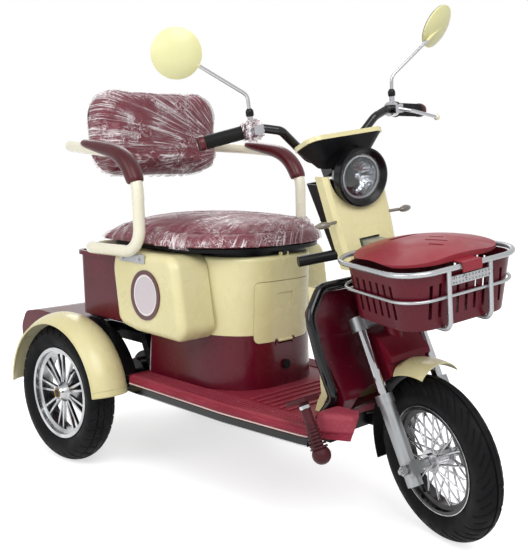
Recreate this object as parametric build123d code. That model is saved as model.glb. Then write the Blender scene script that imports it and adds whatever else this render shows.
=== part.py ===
from build123d import *
import os
from math import cos, radians, sin, tan

# Electric tricycle, in millimetres: +X forward, +Y to the rider's left, +Z up.
# The origin is on the floor, under the middle of the rear axle.
# Front pieces are drawn with X measured from the front axle and with the wheel straight ahead.
# They are then moved to that axle, and those that steer are turned to the parked angle.

# Stance
WHEELBASE = 1085
TRACK = 636
CASTER = 27.0
PARKED_STEER = 19.0

# Clearances
SHAFT_GAP = 0.08
FIT = 0.15
SEAT_GAP = 0.3
MOVE_GAP = 5.5

# Tyres and rims
TYRE_R = 204
REAR_TYRE_W = 82
FRONT_TYRE_W = 64
BULGE_R = 168
SHOULDER_R = 189
SHOULDER_IN = 8
BEAD_R = 127
FLANGE_R = 134
FLANGE_T = 2.6
WELL_R = 117
REAR_RIM_HALF = 31
FRONT_RIM_HALF = 26

# Steering axis: through the front axle, leaning back by the caster angle
STEER_DIR = (-sin(radians(CASTER)), 0, cos(radians(CASTER)))
STEER_AXIS = Axis((WHEELBASE, 0, TYRE_R), STEER_DIR)
# Fork plane: local X ahead of the steering axis, local Y left, local Z along the axis
FORK = Plane(origin=(0, 0, TYRE_R), x_dir=(cos(radians(CASTER)), 0, sin(radians(CASTER))), z_dir=STEER_DIR)
# Two points of the steering axis
HEAD_LOW = 395
HEAD_HIGH = 520


def axis_x(z):
    """X of the steering axis at a height above the floor, from the front axle."""
    return -tan(radians(CASTER)) * (z - TYRE_R)


def to_front(shape):
    """Moves a piece drawn from the front axle to its place on the tricycle."""
    return Pos(WHEELBASE, 0, 0) * shape


def turned(shape):
    """Moves a steered piece to the front axle and turns it right to where it is parked."""
    return to_front(shape).rotate(STEER_AXIS, -PARKED_STEER)


def both_sides(shape):
    """The shape and its mirror image across the centre line."""
    return shape + mirror(shape, about=Plane.XZ)


def mirrored_path(points):
    """The points of a right half, carried on over the centre line."""
    return points + [(x, -y, z) for x, y, z in reversed(points)]


def slab(x0, x1, y0, y1, z0, z1):
    """A box between two corners."""
    return Pos((x0 + x1) / 2, (y0 + y1) / 2, (z0 + z1) / 2) * Box(x1 - x0, y1 - y0, z1 - z0)


def cross_rod(x, z, radius, y0, y1):
    """A round bar across the tricycle."""
    return Pos(x, (y0 + y1) / 2, z) * Rot(90, 0, 0) * Cylinder(radius, y1 - y0)


def tube(points, radius, bends=0.0, close=False):
    """A round bar along straight runs joined by arcs, with one bend radius or a list of them."""
    path = FilletPolyline(*points, radius=bends, close=close) if len(points) > 2 else Line(*points)
    return sweep(Plane(origin=path @ 0, z_dir=path % 0) * Circle(radius), path=path)


def rod(start, end, radius):
    """A straight round bar between two points."""
    return tube([start, end], radius)


def side_profile(points, radius=0.0):
    """A closed outline in the X-Z plane, drawn as (x, z), with rounded corners."""
    line = FilletPolyline(*points, radius=radius, close=True) if radius else Polyline(*points, close=True)
    return Plane.XZ * make_face(line)


def plate_across(points, half, radius=0.0):
    """A side profile made as wide as twice a half width."""
    return extrude(side_profile(points, radius), amount=half, both=True)


def plan_profile(points, radius, z):
    """A closed outline in plan, drawn as (x, y), with rounded corners, at a height."""
    return Plane.XY.offset(z) * make_face(FilletPolyline(*points, radius=radius, close=True))


def rounded_plan(x0, x1, half_width, radius, z):
    """A rounded rectangle in plan, centred on the centre line, at a height."""
    return Pos((x0 + x1) / 2, 0, z) * RectangleRounded(x1 - x0, 2 * half_width, radius)


# Wheels


def wheel_ring(rows):
    """Turns a section, given as (y, radius) rows, about the wheel's axis."""
    return revolve(Plane.YZ * make_face(Polyline(*rows, close=True)), axis=Axis.Y)


def wheel_arc(section, span):
    """Turns a (y, radius) section about an axle above the origin, between two angles above straight ahead."""
    first, last = span
    swept = revolve(Plane.YZ * section, axis=Axis.Y, revolution_arc=last - first)
    return Pos(0, 0, TYRE_R) * Rot(0, 90 - last, 0) * swept


def make_tyre(width, rim_half):
    """Beads inside the rim's flanges, bulging side walls and a rounded tread."""
    half = width / 2
    bead = rim_half - FLANGE_T - SEAT_GAP
    foot_r = BEAD_R + SEAT_GAP
    lip_r = FLANGE_R + 1
    shoulder = half - SHOULDER_IN
    section = Polyline((-bead, lip_r), (-bead, foot_r), (bead, foot_r), (bead, lip_r))
    section += ThreePointArc((bead, lip_r), (half, BULGE_R), (shoulder, SHOULDER_R))
    section += ThreePointArc((shoulder, SHOULDER_R), (0, TYRE_R), (-shoulder, SHOULDER_R))
    section += ThreePointArc((-shoulder, SHOULDER_R), (-half, BULGE_R), (-bead, lip_r))
    return revolve(Plane.YZ * make_face(section), axis=Axis.Y)


def rim_ring(half):
    """The rim's rolled channel: flanges, bead seats and the well between them."""
    seat, wall = half - 14, 3
    right = [
        (half, FLANGE_R), (half - FLANGE_T, FLANGE_R), (half - FLANGE_T, BEAD_R), (seat, BEAD_R), (seat - 4, WELL_R),
    ]
    left = [(-y, r) for y, r in reversed(right)]
    under = [
        (-half, BEAD_R - wall), (-seat - 2, BEAD_R - wall), (-seat + 2, WELL_R - wall - 1),
        (seat - 2, WELL_R - wall - 1), (seat + 2, BEAD_R - wall), (half, BEAD_R - wall),
    ]
    return wheel_ring(right + left + under)


AXLE_R = 10
REAR_SPOKES = 18
REAR_SPOKE_W = 6.5
REAR_SPOKE_T = 9
REAR_SPOKE_Y = -8
REAR_SPOKE_LEAN = 3.2
REAR_HUB_R = 30
REAR_HUB_HALF = 28
REAR_CAP = 6


def make_rear_rim():
    """Cast wheel, outer face towards -Y: paired spokes from a stepped hub to the rim well."""
    hub = wheel_ring([
        (REAR_HUB_HALF, AXLE_R + SHAFT_GAP), (REAR_HUB_HALF, REAR_HUB_R), (-12, REAR_HUB_R), (-18, REAR_HUB_R - 4),
        (-REAR_HUB_HALF, REAR_HUB_R - 10), (-REAR_HUB_HALF - REAR_CAP, REAR_HUB_R - 16),
        (-REAR_HUB_HALF - REAR_CAP, 0), (-REAR_HUB_HALF, 0), (-REAR_HUB_HALF, AXLE_R + SHAFT_GAP),
    ])
    low, high = REAR_HUB_R - 5, WELL_R - 3
    spoke = Pos(0, REAR_SPOKE_Y, (low + high) / 2) * Box(REAR_SPOKE_W, REAR_SPOKE_T, high - low)
    wheel = rim_ring(REAR_RIM_HALF) + hub
    for index in range(REAR_SPOKES):
        lean = REAR_SPOKE_LEAN if index % 2 else -REAR_SPOKE_LEAN
        wheel += Rot(0, index * 360 / REAR_SPOKES + lean, 0) * spoke
    return wheel


FRONT_AXLE_R = 7
FRONT_SPOKES = 36
FRONT_SPOKE_R = 2.4
FRONT_HUB_HALF = 36
FRONT_HUB_R = 18
HUB_FLANGE_R = 28
HUB_FLANGE_Y = (23, 28)
SPOKE_SWEEP = 14


def make_front_rim():
    """Wire wheel: straight spokes run from two hub flanges to the rim well, crossing in pairs."""
    inner, outer = HUB_FLANGE_Y
    bore = FRONT_AXLE_R + SHAFT_GAP
    right = [(FRONT_HUB_HALF, bore), (FRONT_HUB_HALF, FRONT_HUB_R), (outer, FRONT_HUB_R), (outer, HUB_FLANGE_R),
             (inner, HUB_FLANGE_R), (inner, FRONT_HUB_R)]
    hub = wheel_ring(right + [(-y, r) for y, r in reversed(right)])
    wheel = rim_ring(FRONT_RIM_HALF) + hub
    flange_y, nipple_r = (inner + outer) / 2, WELL_R - 2.5
    for index in range(FRONT_SPOKES):
        side = flange_y if index % 2 else -flange_y
        turn = radians(360 * index / FRONT_SPOKES)
        foot = turn + radians(SPOKE_SWEEP if index % 4 < 2 else -SPOKE_SWEEP)
        low = (22 * sin(foot), side, 22 * cos(foot))
        high = (nipple_r * sin(turn), side * 0.3, nipple_r * cos(turn))
        wheel += rod(low, high, FRONT_SPOKE_R)
    return wheel


# Floor
FLOOR_TOP = 284
FLOOR_T = 20
FLOOR_HALF = 270
FLOOR_REAR = 215
FLOOR_FRONT = WHEELBASE - 104
FLOOR_TAPER = WHEELBASE - 205
FLOOR_FRONT_HALF = 200
WHEEL_ROOM = 33
RIB_H = 3
EDGE_RIBS = 5
EDGE_RIB_PITCH = 11
CROSS_RIBS = 6
CROSS_RIB_PITCH = 26
CROSS_RIB_START = 625
CROSS_RIB_HALF = 180
# Raised toe at each front corner: rear x, inner y, outer y, height
TOE = (WHEELBASE - 193, 150, 238, 41)


def front_wheel_room():
    """The ball that the front wheel and its mudflap need as they steer."""
    return Pos(WHEELBASE, 0, TYRE_R) * Sphere(TYRE_R + WHEEL_ROOM)


def make_floorboard():
    """Moulded tread board: long ribs at both edges and cross ribs under the feet."""
    right = [(FLOOR_REAR, -FLOOR_HALF + 6), (620, -FLOOR_HALF), (FLOOR_TAPER, -FLOOR_HALF + 18),
             (FLOOR_FRONT, -FLOOR_FRONT_HALF)]
    outline = right + [(x, -y) for x, y in reversed(right)]
    board = extrude(plan_profile(outline, 22, FLOOR_TOP - FLOOR_T), amount=FLOOR_T)
    for row in range(EDGE_RIBS):
        y = -(FLOOR_HALF - 26 - row * EDGE_RIB_PITCH)
        board += both_sides(slab(FLOOR_REAR + 25, FLOOR_TAPER - 20, y - 2.5, y + 2.5, FLOOR_TOP, FLOOR_TOP + RIB_H))
    for row in range(CROSS_RIBS):
        x = CROSS_RIB_START + row * CROSS_RIB_PITCH
        board += slab(x, x + 8, -CROSS_RIB_HALF, CROSS_RIB_HALF, FLOOR_TOP, FLOOR_TOP + RIB_H)
    rear, inner, outer, height = TOE
    toe = extrude(plan_profile([(rear, -outer), (FLOOR_TAPER + 40, -outer), (FLOOR_FRONT, -FLOOR_FRONT_HALF),
                                (FLOOR_FRONT, -inner), (rear, -inner)], 20, FLOOR_TOP - 2), amount=height + 2)
    toe = fillet(toe.edges().group_by(Axis.Z)[-1], 14)
    return board + both_sides(toe) - front_wheel_room() - to_front(down_tube(DOWN_R + 1))


# Rear bin and what it stands on
BIN_REAR = -50
BIN_FRONT = 205
BIN_HALF = 238
BIN_CORNER = 30
BIN_LOW = 426
BIN_TOP = 616
BIN_WALL = 4
BIN_TAPER = 6
BIN_RIM = 9
BIN_RIM_H = 12

# Main frame
RAIL_R = 13
RAIL_Y = 240
RAIL_Z = FLOOR_TOP - FLOOR_T - RAIL_R - SEAT_GAP
SPINE_Y = 95
SPINE_W = 30
SPINE_Z = (205, 240)
KICK_Z = (332, 362)
DECK_Z = BIN_LOW - SEAT_GAP
DECK_BAR = 16
HANGER_Z = (376, 398)
TAIL_BAR_X = -60
TAIL_LOW_Z = 372
ARCH_IN = 214
HEAD_R = 27
COLUMN_R = 15
DOWN_R = 16
DOWN_X = -285


def down_tube(radius):
    """From the front cross member up to the head tube."""
    return tube([(DOWN_X, 0, RAIL_Z - 20), (DOWN_X + 5, 0, 440), (axis_x(610) - 6, 0, 600)], radius, 60)


def make_main_frame():
    """Two round side rails and two box spines that rise over the axle, with cross members and the head tube."""
    front = WHEELBASE - 217
    frame = both_sides(tube([(180, -RAIL_Y, RAIL_Z), (front - 48, -RAIL_Y, RAIL_Z), (front, -150, RAIL_Z),
                             (front - 53, -60, RAIL_Z)], RAIL_R, 28))
    low, high = SPINE_Z
    kick_low, kick_high = KICK_Z
    spine = plate_across([(-75, kick_low), (-75, kick_high), (105, kick_high), (165, high), (front - 28, high),
                          (front - 28, low), (150, low), (90, kick_low)], SPINE_W / 2)
    frame += Pos(0, -SPINE_Y, 0) * spine + Pos(0, SPINE_Y, 0) * spine
    # floor cross members: x
    for x in (200, 420, 640):
        frame += slab(x - 13, x + 13, -RAIL_Y, RAIL_Y, high - 12, RAIL_Z + 6)
    frame += slab(front - 98, front - 53, -160, 160, low, high)
    frame += slab(TAIL_BAR_X - 13, TAIL_BAR_X + 13, -190, 190, kick_high - 16, TAIL_LOW_Z - SEAT_GAP)
    frame += slab(-15, 11, -ARCH_IN + SEAT_GAP, ARCH_IN - SEAT_GAP, *HANGER_Z)
    for x, foot in ((-2, kick_high - 4), (190, high - 4)):
        frame += both_sides(slab(x - 11, x + 11, -SPINE_Y - 11, -SPINE_Y + 11, foot, DECK_Z - 4))
    frame += both_sides(slab(BIN_REAR + 10, 200, -SPINE_Y - 8, -SPINE_Y + 8, DECK_Z - DECK_BAR, DECK_Z))
    middle = (HEAD_LOW + HEAD_HIGH) / 2
    head = FORK * Pos(0, 0, middle) * Cylinder(HEAD_R, HEAD_HIGH - HEAD_LOW)
    bore = FORK * Pos(0, 0, middle) * Cylinder(COLUMN_R + SHAFT_GAP, HEAD_HIGH - HEAD_LOW + 40)
    return frame + to_front(head + down_tube(DOWN_R) - bore)


# Leg shield
SHIELD_TUBE_R = 12.5
SHIELD_WALL = 4
SHIELD_FOOT = FLOOR_TOP + SEAT_GAP


def shield_loop(radius):
    """The hoop that frames the leg shield, from foot to foot."""
    right = [(-242, -165, SHIELD_FOOT - 16), (-192, -165, 340), (-223, -185, 440), (-249, -195, 535),
             (-255, -150, 597), (-249, -40, 603)]
    bends = [34, 60, 60, 38, 40]
    return tube(mirrored_path(right), radius, bends + bends[::-1])


def make_shield_tube():
    return shield_loop(SHIELD_TUBE_R) - slab(-300, -200, -200, 200, SHIELD_FOOT - 60, SHIELD_FOOT)


def head_room():
    """Room for the head tube in the panels around it."""
    return FORK * Pos(0, 0, (HEAD_LOW + HEAD_HIGH) / 2) * Cylinder(HEAD_R + 1, HEAD_HIGH - HEAD_LOW + 2)


def make_leg_shield():
    """The pressed panel inside the hoop: its bent side profile cut to its front outline, open behind."""
    profile = [(-227, SHIELD_FOOT), (-180, 300), (-173, 335), (-219, 430), (-239, 480), (-251, 540), (-259, 596),
               (-285, 596), (-279, 540), (-263, 470), (-235, 400), (-213, 345), (-235, SHIELD_FOOT)]
    right = [(-138, 585), (-180, 535), (-170, 440), (-149, 360), (-149, SHIELD_FOOT)]
    outline = right + [(-y, z) for y, z in reversed(right)]

    def panel(inset):
        shape = make_face(FilletPolyline(*outline, radius=20, close=True))
        shape = offset(shape, amount=-inset) if inset else shape
        return extrude(Plane.YZ.offset(-305) * shape, amount=200)

    body = plate_across(profile, 200)
    shell = body & panel(0)
    hollow = Pos(-SHIELD_WALL, 0, 0) * body & panel(SHIELD_WALL)
    return shell - hollow - shield_loop(SHIELD_TUBE_R + FIT) - down_tube(DOWN_R + 1) - head_room()


PANEL_HALF = 128
TUNNEL_HALF = 34


def make_inner_panel():
    """The cream panel that faces the rider's shins, with a tunnel over the down tube, open in front."""
    front = [(-245, SHIELD_FOOT), (-252, 310), (-241, 332), (-245, 366), (-247, 394), (-270, 468), (-286, 540),
             (-291, 590)]
    rear = [(-313, 590), (-309, 540), (-294, 468), (-270, 394), (-268, 366), (-263, 332), (-274, 310),
            (-281, SHIELD_FOOT)]

    def form(half, depth):
        skin = plate_across(front + rear, half)
        tunnel = plate_across(front + [(-311 + depth, 590), (-311 + depth, SHIELD_FOOT)], TUNNEL_HALF - depth)
        return skin + tunnel

    hollow = form(PANEL_HALF - SHIELD_WALL, SHIELD_WALL)
    return form(PANEL_HALF, 0) - Pos(SHIELD_WALL, 0, 0) * hollow - down_tube(DOWN_R + 1)


# Brake pedal, outside the floor's right edge
PEDAL_TOP = (-195, -272, 353)
PEDAL_FOOT = (-136, -272, 243)
PEDAL_PAD = (62, 66, 9)
PEDAL_TILT = 26
PEDAL_R = 12
CRANK_R = 9
BELLOWS = 8


def make_brake_pedal():
    """A tilted pad on a sleeved stem with a rubber bellows, and the crank under the floor."""
    top, foot = Vector(*PEDAL_TOP), Vector(*PEDAL_FOOT)
    along = (foot - top).normalized()
    pedal = rod(top - along * 4, foot, PEDAL_R)
    pedal += Pos(*foot) * Sphere(PEDAL_R + 10)
    for turn in range(BELLOWS):
        ring = Plane(origin=top + along * (52 + turn * 8), z_dir=along)
        pedal += ring * Cylinder(PEDAL_R + 2 + turn, 5)
    length, width, thickness = PEDAL_PAD
    pad = Pos(*top) * Rot(0, -PEDAL_TILT, 0) * extrude(RectangleRounded(length, width, 14), amount=thickness)
    # the crank slopes down on its way in, to pass just under the side rail
    under = RAIL_Z - RAIL_R - SEAT_GAP - CRANK_R
    crank = rod(foot, (-250, -185, under - 1.5), CRANK_R)
    return pedal + pad + crank


# Seat box
BOX_REAR = 214
BOX_FRONT = 578
BOX_HALF = 186
BOX_LOW = FLOOR_TOP + SEAT_GAP
BOX_SPLIT = 430
BOX_TOP = 640
BOX_WALL = 4
BOX_FLARE = 8
BOX_CORNER = 145
BOX_BACK_CORNER = 30
BOX_ROUND = 12
BOX_MOUTH = 34

# Glovebox door, hinged at its foot
DOOR_HALF = 104
DOOR_BOTTOM = 408
DOOR_TOP = 572
DOOR_CORNER = 14
DOOR_T = 5
DOOR_PROUD = 1.0
DOOR_GAP = 1.5
HINGE_X = BOX_FRONT + 1.5
HINGE_R = 4
HINGE_HALF = 28
HINGE_PIN_R = 1.6
LUG_W = 8
PULL_HALF = 31
PULL_Z = (510, 540)

# Seat hinge, at the front of the box's top
SEAT_HINGE_X = BOX_FRONT - 8
SEAT_HINGE_Z = BOX_TOP + 5
SEAT_HINGE_R = 4
SEAT_HINGE_HALF = 9


def box_plan(grow, z):
    """The box in plan: nearly square behind, with wide round corners in front."""
    rear, front, half = BOX_REAR - min(grow, 0), BOX_FRONT + grow, BOX_HALF + grow
    back_corner, corner = BOX_BACK_CORNER + min(grow, 0), BOX_CORNER + grow
    return plan_profile([(rear, -half), (front, -half), (front, half), (rear, half)],
                        [back_corner, corner, corner, back_corner], z)


def door_block(gap):
    """The door's front outline, grown by a gap, as a block through the box's front."""
    outline = Pos(0, (DOOR_BOTTOM + DOOR_TOP) / 2) * RectangleRounded(
        2 * (DOOR_HALF + gap), DOOR_TOP - DOOR_BOTTOM + 2 * gap, DOOR_CORNER + gap)
    return extrude(Plane.YZ.offset(BOX_FRONT - 60) * outline, amount=100)


def hinge_rods(radius, y0, y1):
    """Round bars on the door's hinge line, on both sides."""
    return both_sides(cross_rod(HINGE_X, DOOR_BOTTOM, radius, -y1, -y0))


def make_seat_box_lower():
    """The maroon foot of the box: flared walls, a floor, and the lugs of the door's hinge."""
    outer = loft([box_plan(BOX_FLARE, BOX_LOW), box_plan(0, BOX_SPLIT)])
    inner = loft([box_plan(BOX_FLARE - BOX_WALL, BOX_LOW + BOX_WALL), box_plan(-BOX_WALL, BOX_SPLIT)])
    body = outer - inner - door_block(DOOR_GAP)
    lug_end = HINGE_HALF + 1 + LUG_W
    body -= slab(BOX_FRONT - 12, BOX_FRONT + 20, -lug_end - 2, lug_end + 2, DOOR_BOTTOM - 8, BOX_SPLIT)
    lug = slab(BOX_FRONT - 3, BOX_FRONT + 4, -lug_end, -HINGE_HALF - 1, DOOR_BOTTOM - 12, DOOR_BOTTOM)
    return body + both_sides(lug) + hinge_rods(HINGE_R, HINGE_HALF + 1, lug_end) + hinge_rods(
        HINGE_PIN_R, HINGE_HALF - 10, HINGE_HALF + 2)


def make_seat_box_upper():
    """The cream body of the box, open to the seat above and to the door in front."""
    low = BOX_SPLIT + SEAT_GAP
    outer = extrude(box_plan(0, low), amount=BOX_TOP - low)
    outer = fillet(outer.edges().group_by(Axis.Z)[-1], BOX_ROUND)
    inner = extrude(box_plan(-BOX_WALL, low), amount=BOX_TOP - low - BOX_WALL)
    inner = fillet(inner.edges().group_by(Axis.Z)[-1], BOX_ROUND - BOX_WALL)
    mouth = rounded_plan(BOX_REAR + BOX_MOUTH, BOX_FRONT - BOX_MOUTH, BOX_HALF - BOX_MOUTH, 100, BOX_TOP - 20)
    body = outer - inner - extrude(mouth, amount=40) - door_block(DOOR_GAP)
    lug_in, lug_out = SEAT_HINGE_HALF + 0.5, SEAT_HINGE_HALF + 6.5
    lug = slab(SEAT_HINGE_X - 4, SEAT_HINGE_X + 4, -lug_out, -lug_in, BOX_TOP - 3, SEAT_HINGE_Z)
    lug += cross_rod(SEAT_HINGE_X, SEAT_HINGE_Z, 4.5, -lug_out, -lug_in)
    return body + both_sides(lug) + cross_rod(SEAT_HINGE_X, SEAT_HINGE_Z, HINGE_PIN_R, -lug_in - 1, lug_in + 1)


def make_glovebox_door():
    """A curved door that follows the box's front, with a sunk pull and a knuckle at its foot."""
    ring = box_plan(DOOR_PROUD, DOOR_BOTTOM) - box_plan(DOOR_PROUD - DOOR_T, DOOR_BOTTOM)
    door = extrude(ring, amount=DOOR_TOP - DOOR_BOTTOM) & door_block(0)
    door -= slab(BOX_FRONT - 2, BOX_FRONT + 20, -PULL_HALF, PULL_HALF, *PULL_Z)
    door += cross_rod(HINGE_X, DOOR_BOTTOM, HINGE_R, -HINGE_HALF, HINGE_HALF)
    door -= hinge_rods(HINGE_R + 3, HINGE_HALF, HINGE_HALF + LUG_W + 2)
    return door - cross_rod(HINGE_X, DOOR_BOTTOM, HINGE_PIN_R + SHAFT_GAP, -HINGE_HALF, HINGE_HALF)


BATTERY = (250, 520, 125, 110)


def make_battery_pack():
    """One plain block on the box's floor: rear, front, half width, height."""
    rear, front, half, height = BATTERY
    base = BOX_LOW + BOX_WALL + SEAT_GAP
    return fillet(slab(rear, front, -half, half, base, base + height).edges().filter_by(Axis.Z), 8)


PORT_R = 13
PORT_T = 6
PORT_Z = 341


def make_charge_port():
    """Round cap on the sloped front of the box's foot."""
    slope = BOX_FLARE / (BOX_SPLIT - BOX_LOW)
    face_x = BOX_FRONT + slope * (BOX_SPLIT - PORT_Z + PORT_R)
    return Pos(face_x + SEAT_GAP + PORT_T / 2, 0, PORT_Z) * Rot(0, 90, 0) * Cylinder(PORT_R, PORT_T)


# Side pods
POD_IN = BOX_HALF + SEAT_GAP + 0.4
POD_OUT = 300
POD_TOP = 647
POD_EDGE = 24


def make_side_pod():
    """A swollen pod on the box's right side, rounded all round its outer face."""
    outline = [(224, 440), (300, 428), (476, 424), (500, 452), (462, POD_TOP), (212, POD_TOP), (197, 600)]
    face = make_face(FilletPolyline(*outline, radius=[40, 90, 26, 40, 46, 34, 90], close=True))
    body = extrude(Plane.XZ.offset(POD_IN) * face, amount=POD_OUT - POD_IN)
    return fillet(body.faces().sort_by(Axis.Y)[0].edges(), POD_EDGE)


BADGE_AT = (352, 535)
BADGE_W = 120
BADGE_H = 134
BADGE_T = 3.5
BADGE_RING = 11


def make_badge():
    """A blank oval plate with a raised ring."""
    plane = Plane.XZ.offset(POD_OUT + SEAT_GAP) * Pos(*BADGE_AT)
    plate = extrude(plane * Ellipse(BADGE_W / 2, BADGE_H / 2), amount=BADGE_T)
    field = extrude(plane * Ellipse(BADGE_W / 2 - BADGE_RING, BADGE_H / 2 - BADGE_RING), amount=BADGE_T)
    return plate - Pos(0, -BADGE_T / 2, 0) * field


# Rear bin


def bin_plan(grow, z):
    return rounded_plan(BIN_REAR - grow, BIN_FRONT + min(grow, 0), BIN_HALF + grow, BIN_CORNER + grow, z)


def make_rear_bin():
    """Open bin with a turned-out rim, notched where it passes the pods."""
    outer = loft([bin_plan(-BIN_TAPER, BIN_LOW), bin_plan(0, BIN_TOP)])
    rim = extrude(bin_plan(BIN_RIM, BIN_TOP - BIN_RIM_H), amount=BIN_RIM_H)
    inner = loft([bin_plan(-BIN_TAPER - BIN_WALL, BIN_LOW + BIN_WALL), bin_plan(-BIN_WALL, BIN_TOP)])
    pods = both_sides(slab(150, 260, -400, -POD_IN + 3, BIN_LOW - 5, BIN_TOP + 60))
    return outer + rim - inner - pods


# Rear fenders
FENDER_GAP = 24
FENDER_R = TYRE_R + FENDER_GAP
FENDER_IN = TRACK / 2 - 60
FENDER_OUT = TRACK / 2 + 56
FENDER_T = 3
FENDER_SPAN = (8, 180)
FENDER_CROWN = 8
FENDER_FALL = (12, 18)
ARCH_SPAN = (20, 108)
ARCH_LIP = 4
ARCH_DEPTH = 44


def make_rear_fender():
    """A crowned fender over the right rear wheel."""
    middle = (FENDER_IN + FENDER_OUT) / 2
    fall_in, fall_out = FENDER_FALL

    def arc(drop):
        return ThreePointArc((-FENDER_OUT, FENDER_R - fall_out - drop), (-middle, FENDER_R + FENDER_CROWN - drop),
                             (-FENDER_IN, FENDER_R - fall_in - drop))

    outer, inner = arc(0), arc(FENDER_T)
    section = make_face(outer + inner + Line(outer @ 1, inner @ 1) + Line(inner @ 0, outer @ 0))
    return wheel_arc(section, FENDER_SPAN)


def make_wheel_arch():
    """The black inner guard between the wheel and the body, with a turned-in edge."""
    rim = FENDER_R - FENDER_FALL[0]
    edge = FENDER_IN - SEAT_GAP
    foot, lip = rim - ARCH_DEPTH - 4, ARCH_IN + ARCH_LIP
    section = make_face(Polyline(
        (-edge, rim), (-ARCH_IN, rim - 4), (-ARCH_IN, foot), (-lip, foot), (-lip, rim - 8), (-edge + 4, rim - 8),
        (-edge, rim - 4), close=True))
    return wheel_arc(section, ARCH_SPAN)


# Rear axle, springs and rails
AXLE_TUBE_R = 22
AXLE_SHOULDER = TRACK / 2 - 50
DRUM_R = 62
DRUM_T = 10
MOTOR_R = 75
MOTOR_Y = (-21, 97)
GEARS_R = 56
GEARS_Y = (-67, -20)
PERCH_Y = 150
PERCH_Z = (-30, 30)
ARM_Z = (8, 30)


def make_rear_axle():
    """Axle case with the motor and gears, drum backplates, stubs, spring perches and trailing arms."""
    def across(radius, y0, y1):
        return cross_rod(0, TYRE_R, radius, y0, y1)

    end = TRACK / 2 + REAR_HUB_HALF - SHAFT_GAP
    case = across(AXLE_TUBE_R, -AXLE_SHOULDER, AXLE_SHOULDER) + across(AXLE_R, -end, end)
    case += across(MOTOR_R, *MOTOR_Y) + across(GEARS_R, *GEARS_Y)
    case += both_sides(across(DRUM_R, -AXLE_SHOULDER - DRUM_T, -AXLE_SHOULDER))
    perch = slab(-20, 16, -PERCH_Y - 16, -PERCH_Y + 16, TYRE_R + PERCH_Z[0], TYRE_R + PERCH_Z[1])
    arm = slab(0, 187 - SEAT_GAP, -PERCH_Y - 8, -PERCH_Y + 8, TYRE_R + ARM_Z[0], TYRE_R + ARM_Z[1])
    return case + both_sides(perch + arm)


COIL_R = 17
COIL_WIRE = 4.5
COILS = 9
COIL_PITCH = 12
DAMPER_R = 14


def make_rear_shocks():
    """Two sprung struts from the axle's perches to the hanger bar."""
    low, high = TYRE_R + PERCH_Z[1] + SEAT_GAP, HANGER_Z[0] - SEAT_GAP
    strut = Pos(0, 0, (low + high) / 2) * Cylinder(DAMPER_R, high - low)
    strut += Pos(0, 0, low + 4) * Cylinder(COIL_R + COIL_WIRE, 8)
    strut += Pos(0, 0, high - 4) * Cylinder(COIL_R + COIL_WIRE, 8)
    first = (low + high - (COILS - 1) * COIL_PITCH) / 2
    for coil in range(COILS):
        strut += Pos(0, 0, first + coil * COIL_PITCH) * Torus(COIL_R, COIL_WIRE)
    return both_sides(Pos(-2, -PERCH_Y, 0) * strut)


CHROME_R = 6


def make_rear_rail():
    """Chrome tube under the foot of the bin, from side to side round its back."""
    z = BIN_LOW - SEAT_GAP - CHROME_R
    y = ARCH_IN - CHROME_R - 2
    rear = BIN_REAR - 12
    return tube([(178, -y, z), (rear, -y, z), (rear, y, z), (178, y, z)], CHROME_R, 40)


TAIL_HALF = FENDER_IN - 6
TAIL_WALL = 6
LAMP_BOX = (14, 86, 34)
LAMP_PLACE = Pos(-352, -188, 344) * Rot(0, -4, 0)
# Two bosses for a number plate
PLATE_SPACING = 150
PLATE_X = -349
PLATE_Z = 300
PLATE_HOLE_R = 3.2
PLATE_BOSS_R = 9
# Tail cover outline: x, z, corner radius
TAIL_ROWS = [(-72, TAIL_LOW_Z, 2), (-72, 402, 3), (-250, 406, 60), (-330, 392, 36), (-358, 340, 50),
             (-346, 262, 8), (-300, 262, 8), (-290, 350, 30)]
TAIL_ROOM_ROWS = [(-60, 330, 2), (-60, 396, 3), (-249, 400, 54), (-326, 386, 30), (-352, 339, 44),
                  (-339, 250, 8), (-294, 250, 8), (-284, 330, 10)]


def rows_across(rows, half):
    """A block across the tricycle from (x, z, corner radius) rows."""
    return plate_across([(x, z) for x, z, _ in rows], half, [radius for _, _, radius in rows])


def make_tail_cover():
    """Rounded cover between the fenders, over the axle's tail: a roof, a back wall and two ends."""
    outer = rows_across(TAIL_ROWS, TAIL_HALF)
    room = rows_across(TAIL_ROOM_ROWS, TAIL_HALF - TAIL_WALL)
    inner = ARCH_IN - SEAT_GAP
    seat = slab(-84, -40, -inner, inner, TAIL_LOW_Z, TAIL_LOW_Z + 14)
    seat += slab(-84, -72, -inner, inner, TAIL_LOW_Z, 398)
    boss = Pos(PLATE_X, -PLATE_SPACING / 2, PLATE_Z) * Rot(0, 90, 0) * Cylinder(PLATE_BOSS_R, 2 * TAIL_WALL)
    hole = Pos(PLATE_X, -PLATE_SPACING / 2, PLATE_Z) * Rot(0, 90, 0) * Cylinder(PLATE_HOLE_R, 4 * TAIL_WALL)
    lamps = LAMP_PLACE * Box(*[size + 2 * SEAT_GAP for size in LAMP_BOX])
    return outer - room + seat + both_sides(boss) - both_sides(hole) - both_sides(lamps)


def make_tail_lamps():
    return both_sides(LAMP_PLACE * Box(*LAMP_BOX))


# Seat frame: one closed loop
SEAT_TUBE_R = 16
SEAT_TUBE_Y = 316
LOOP_REAR = 92
LOOP_Z = 642
POST_LOW = (350, LOOP_Z + 8)
POST_HIGH = (338, 905)
ARM_BACK = (110, 918)
BACK_BAR_X = -52
BACK_BAR_Z = 922
ARM_BEND = 120


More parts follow.
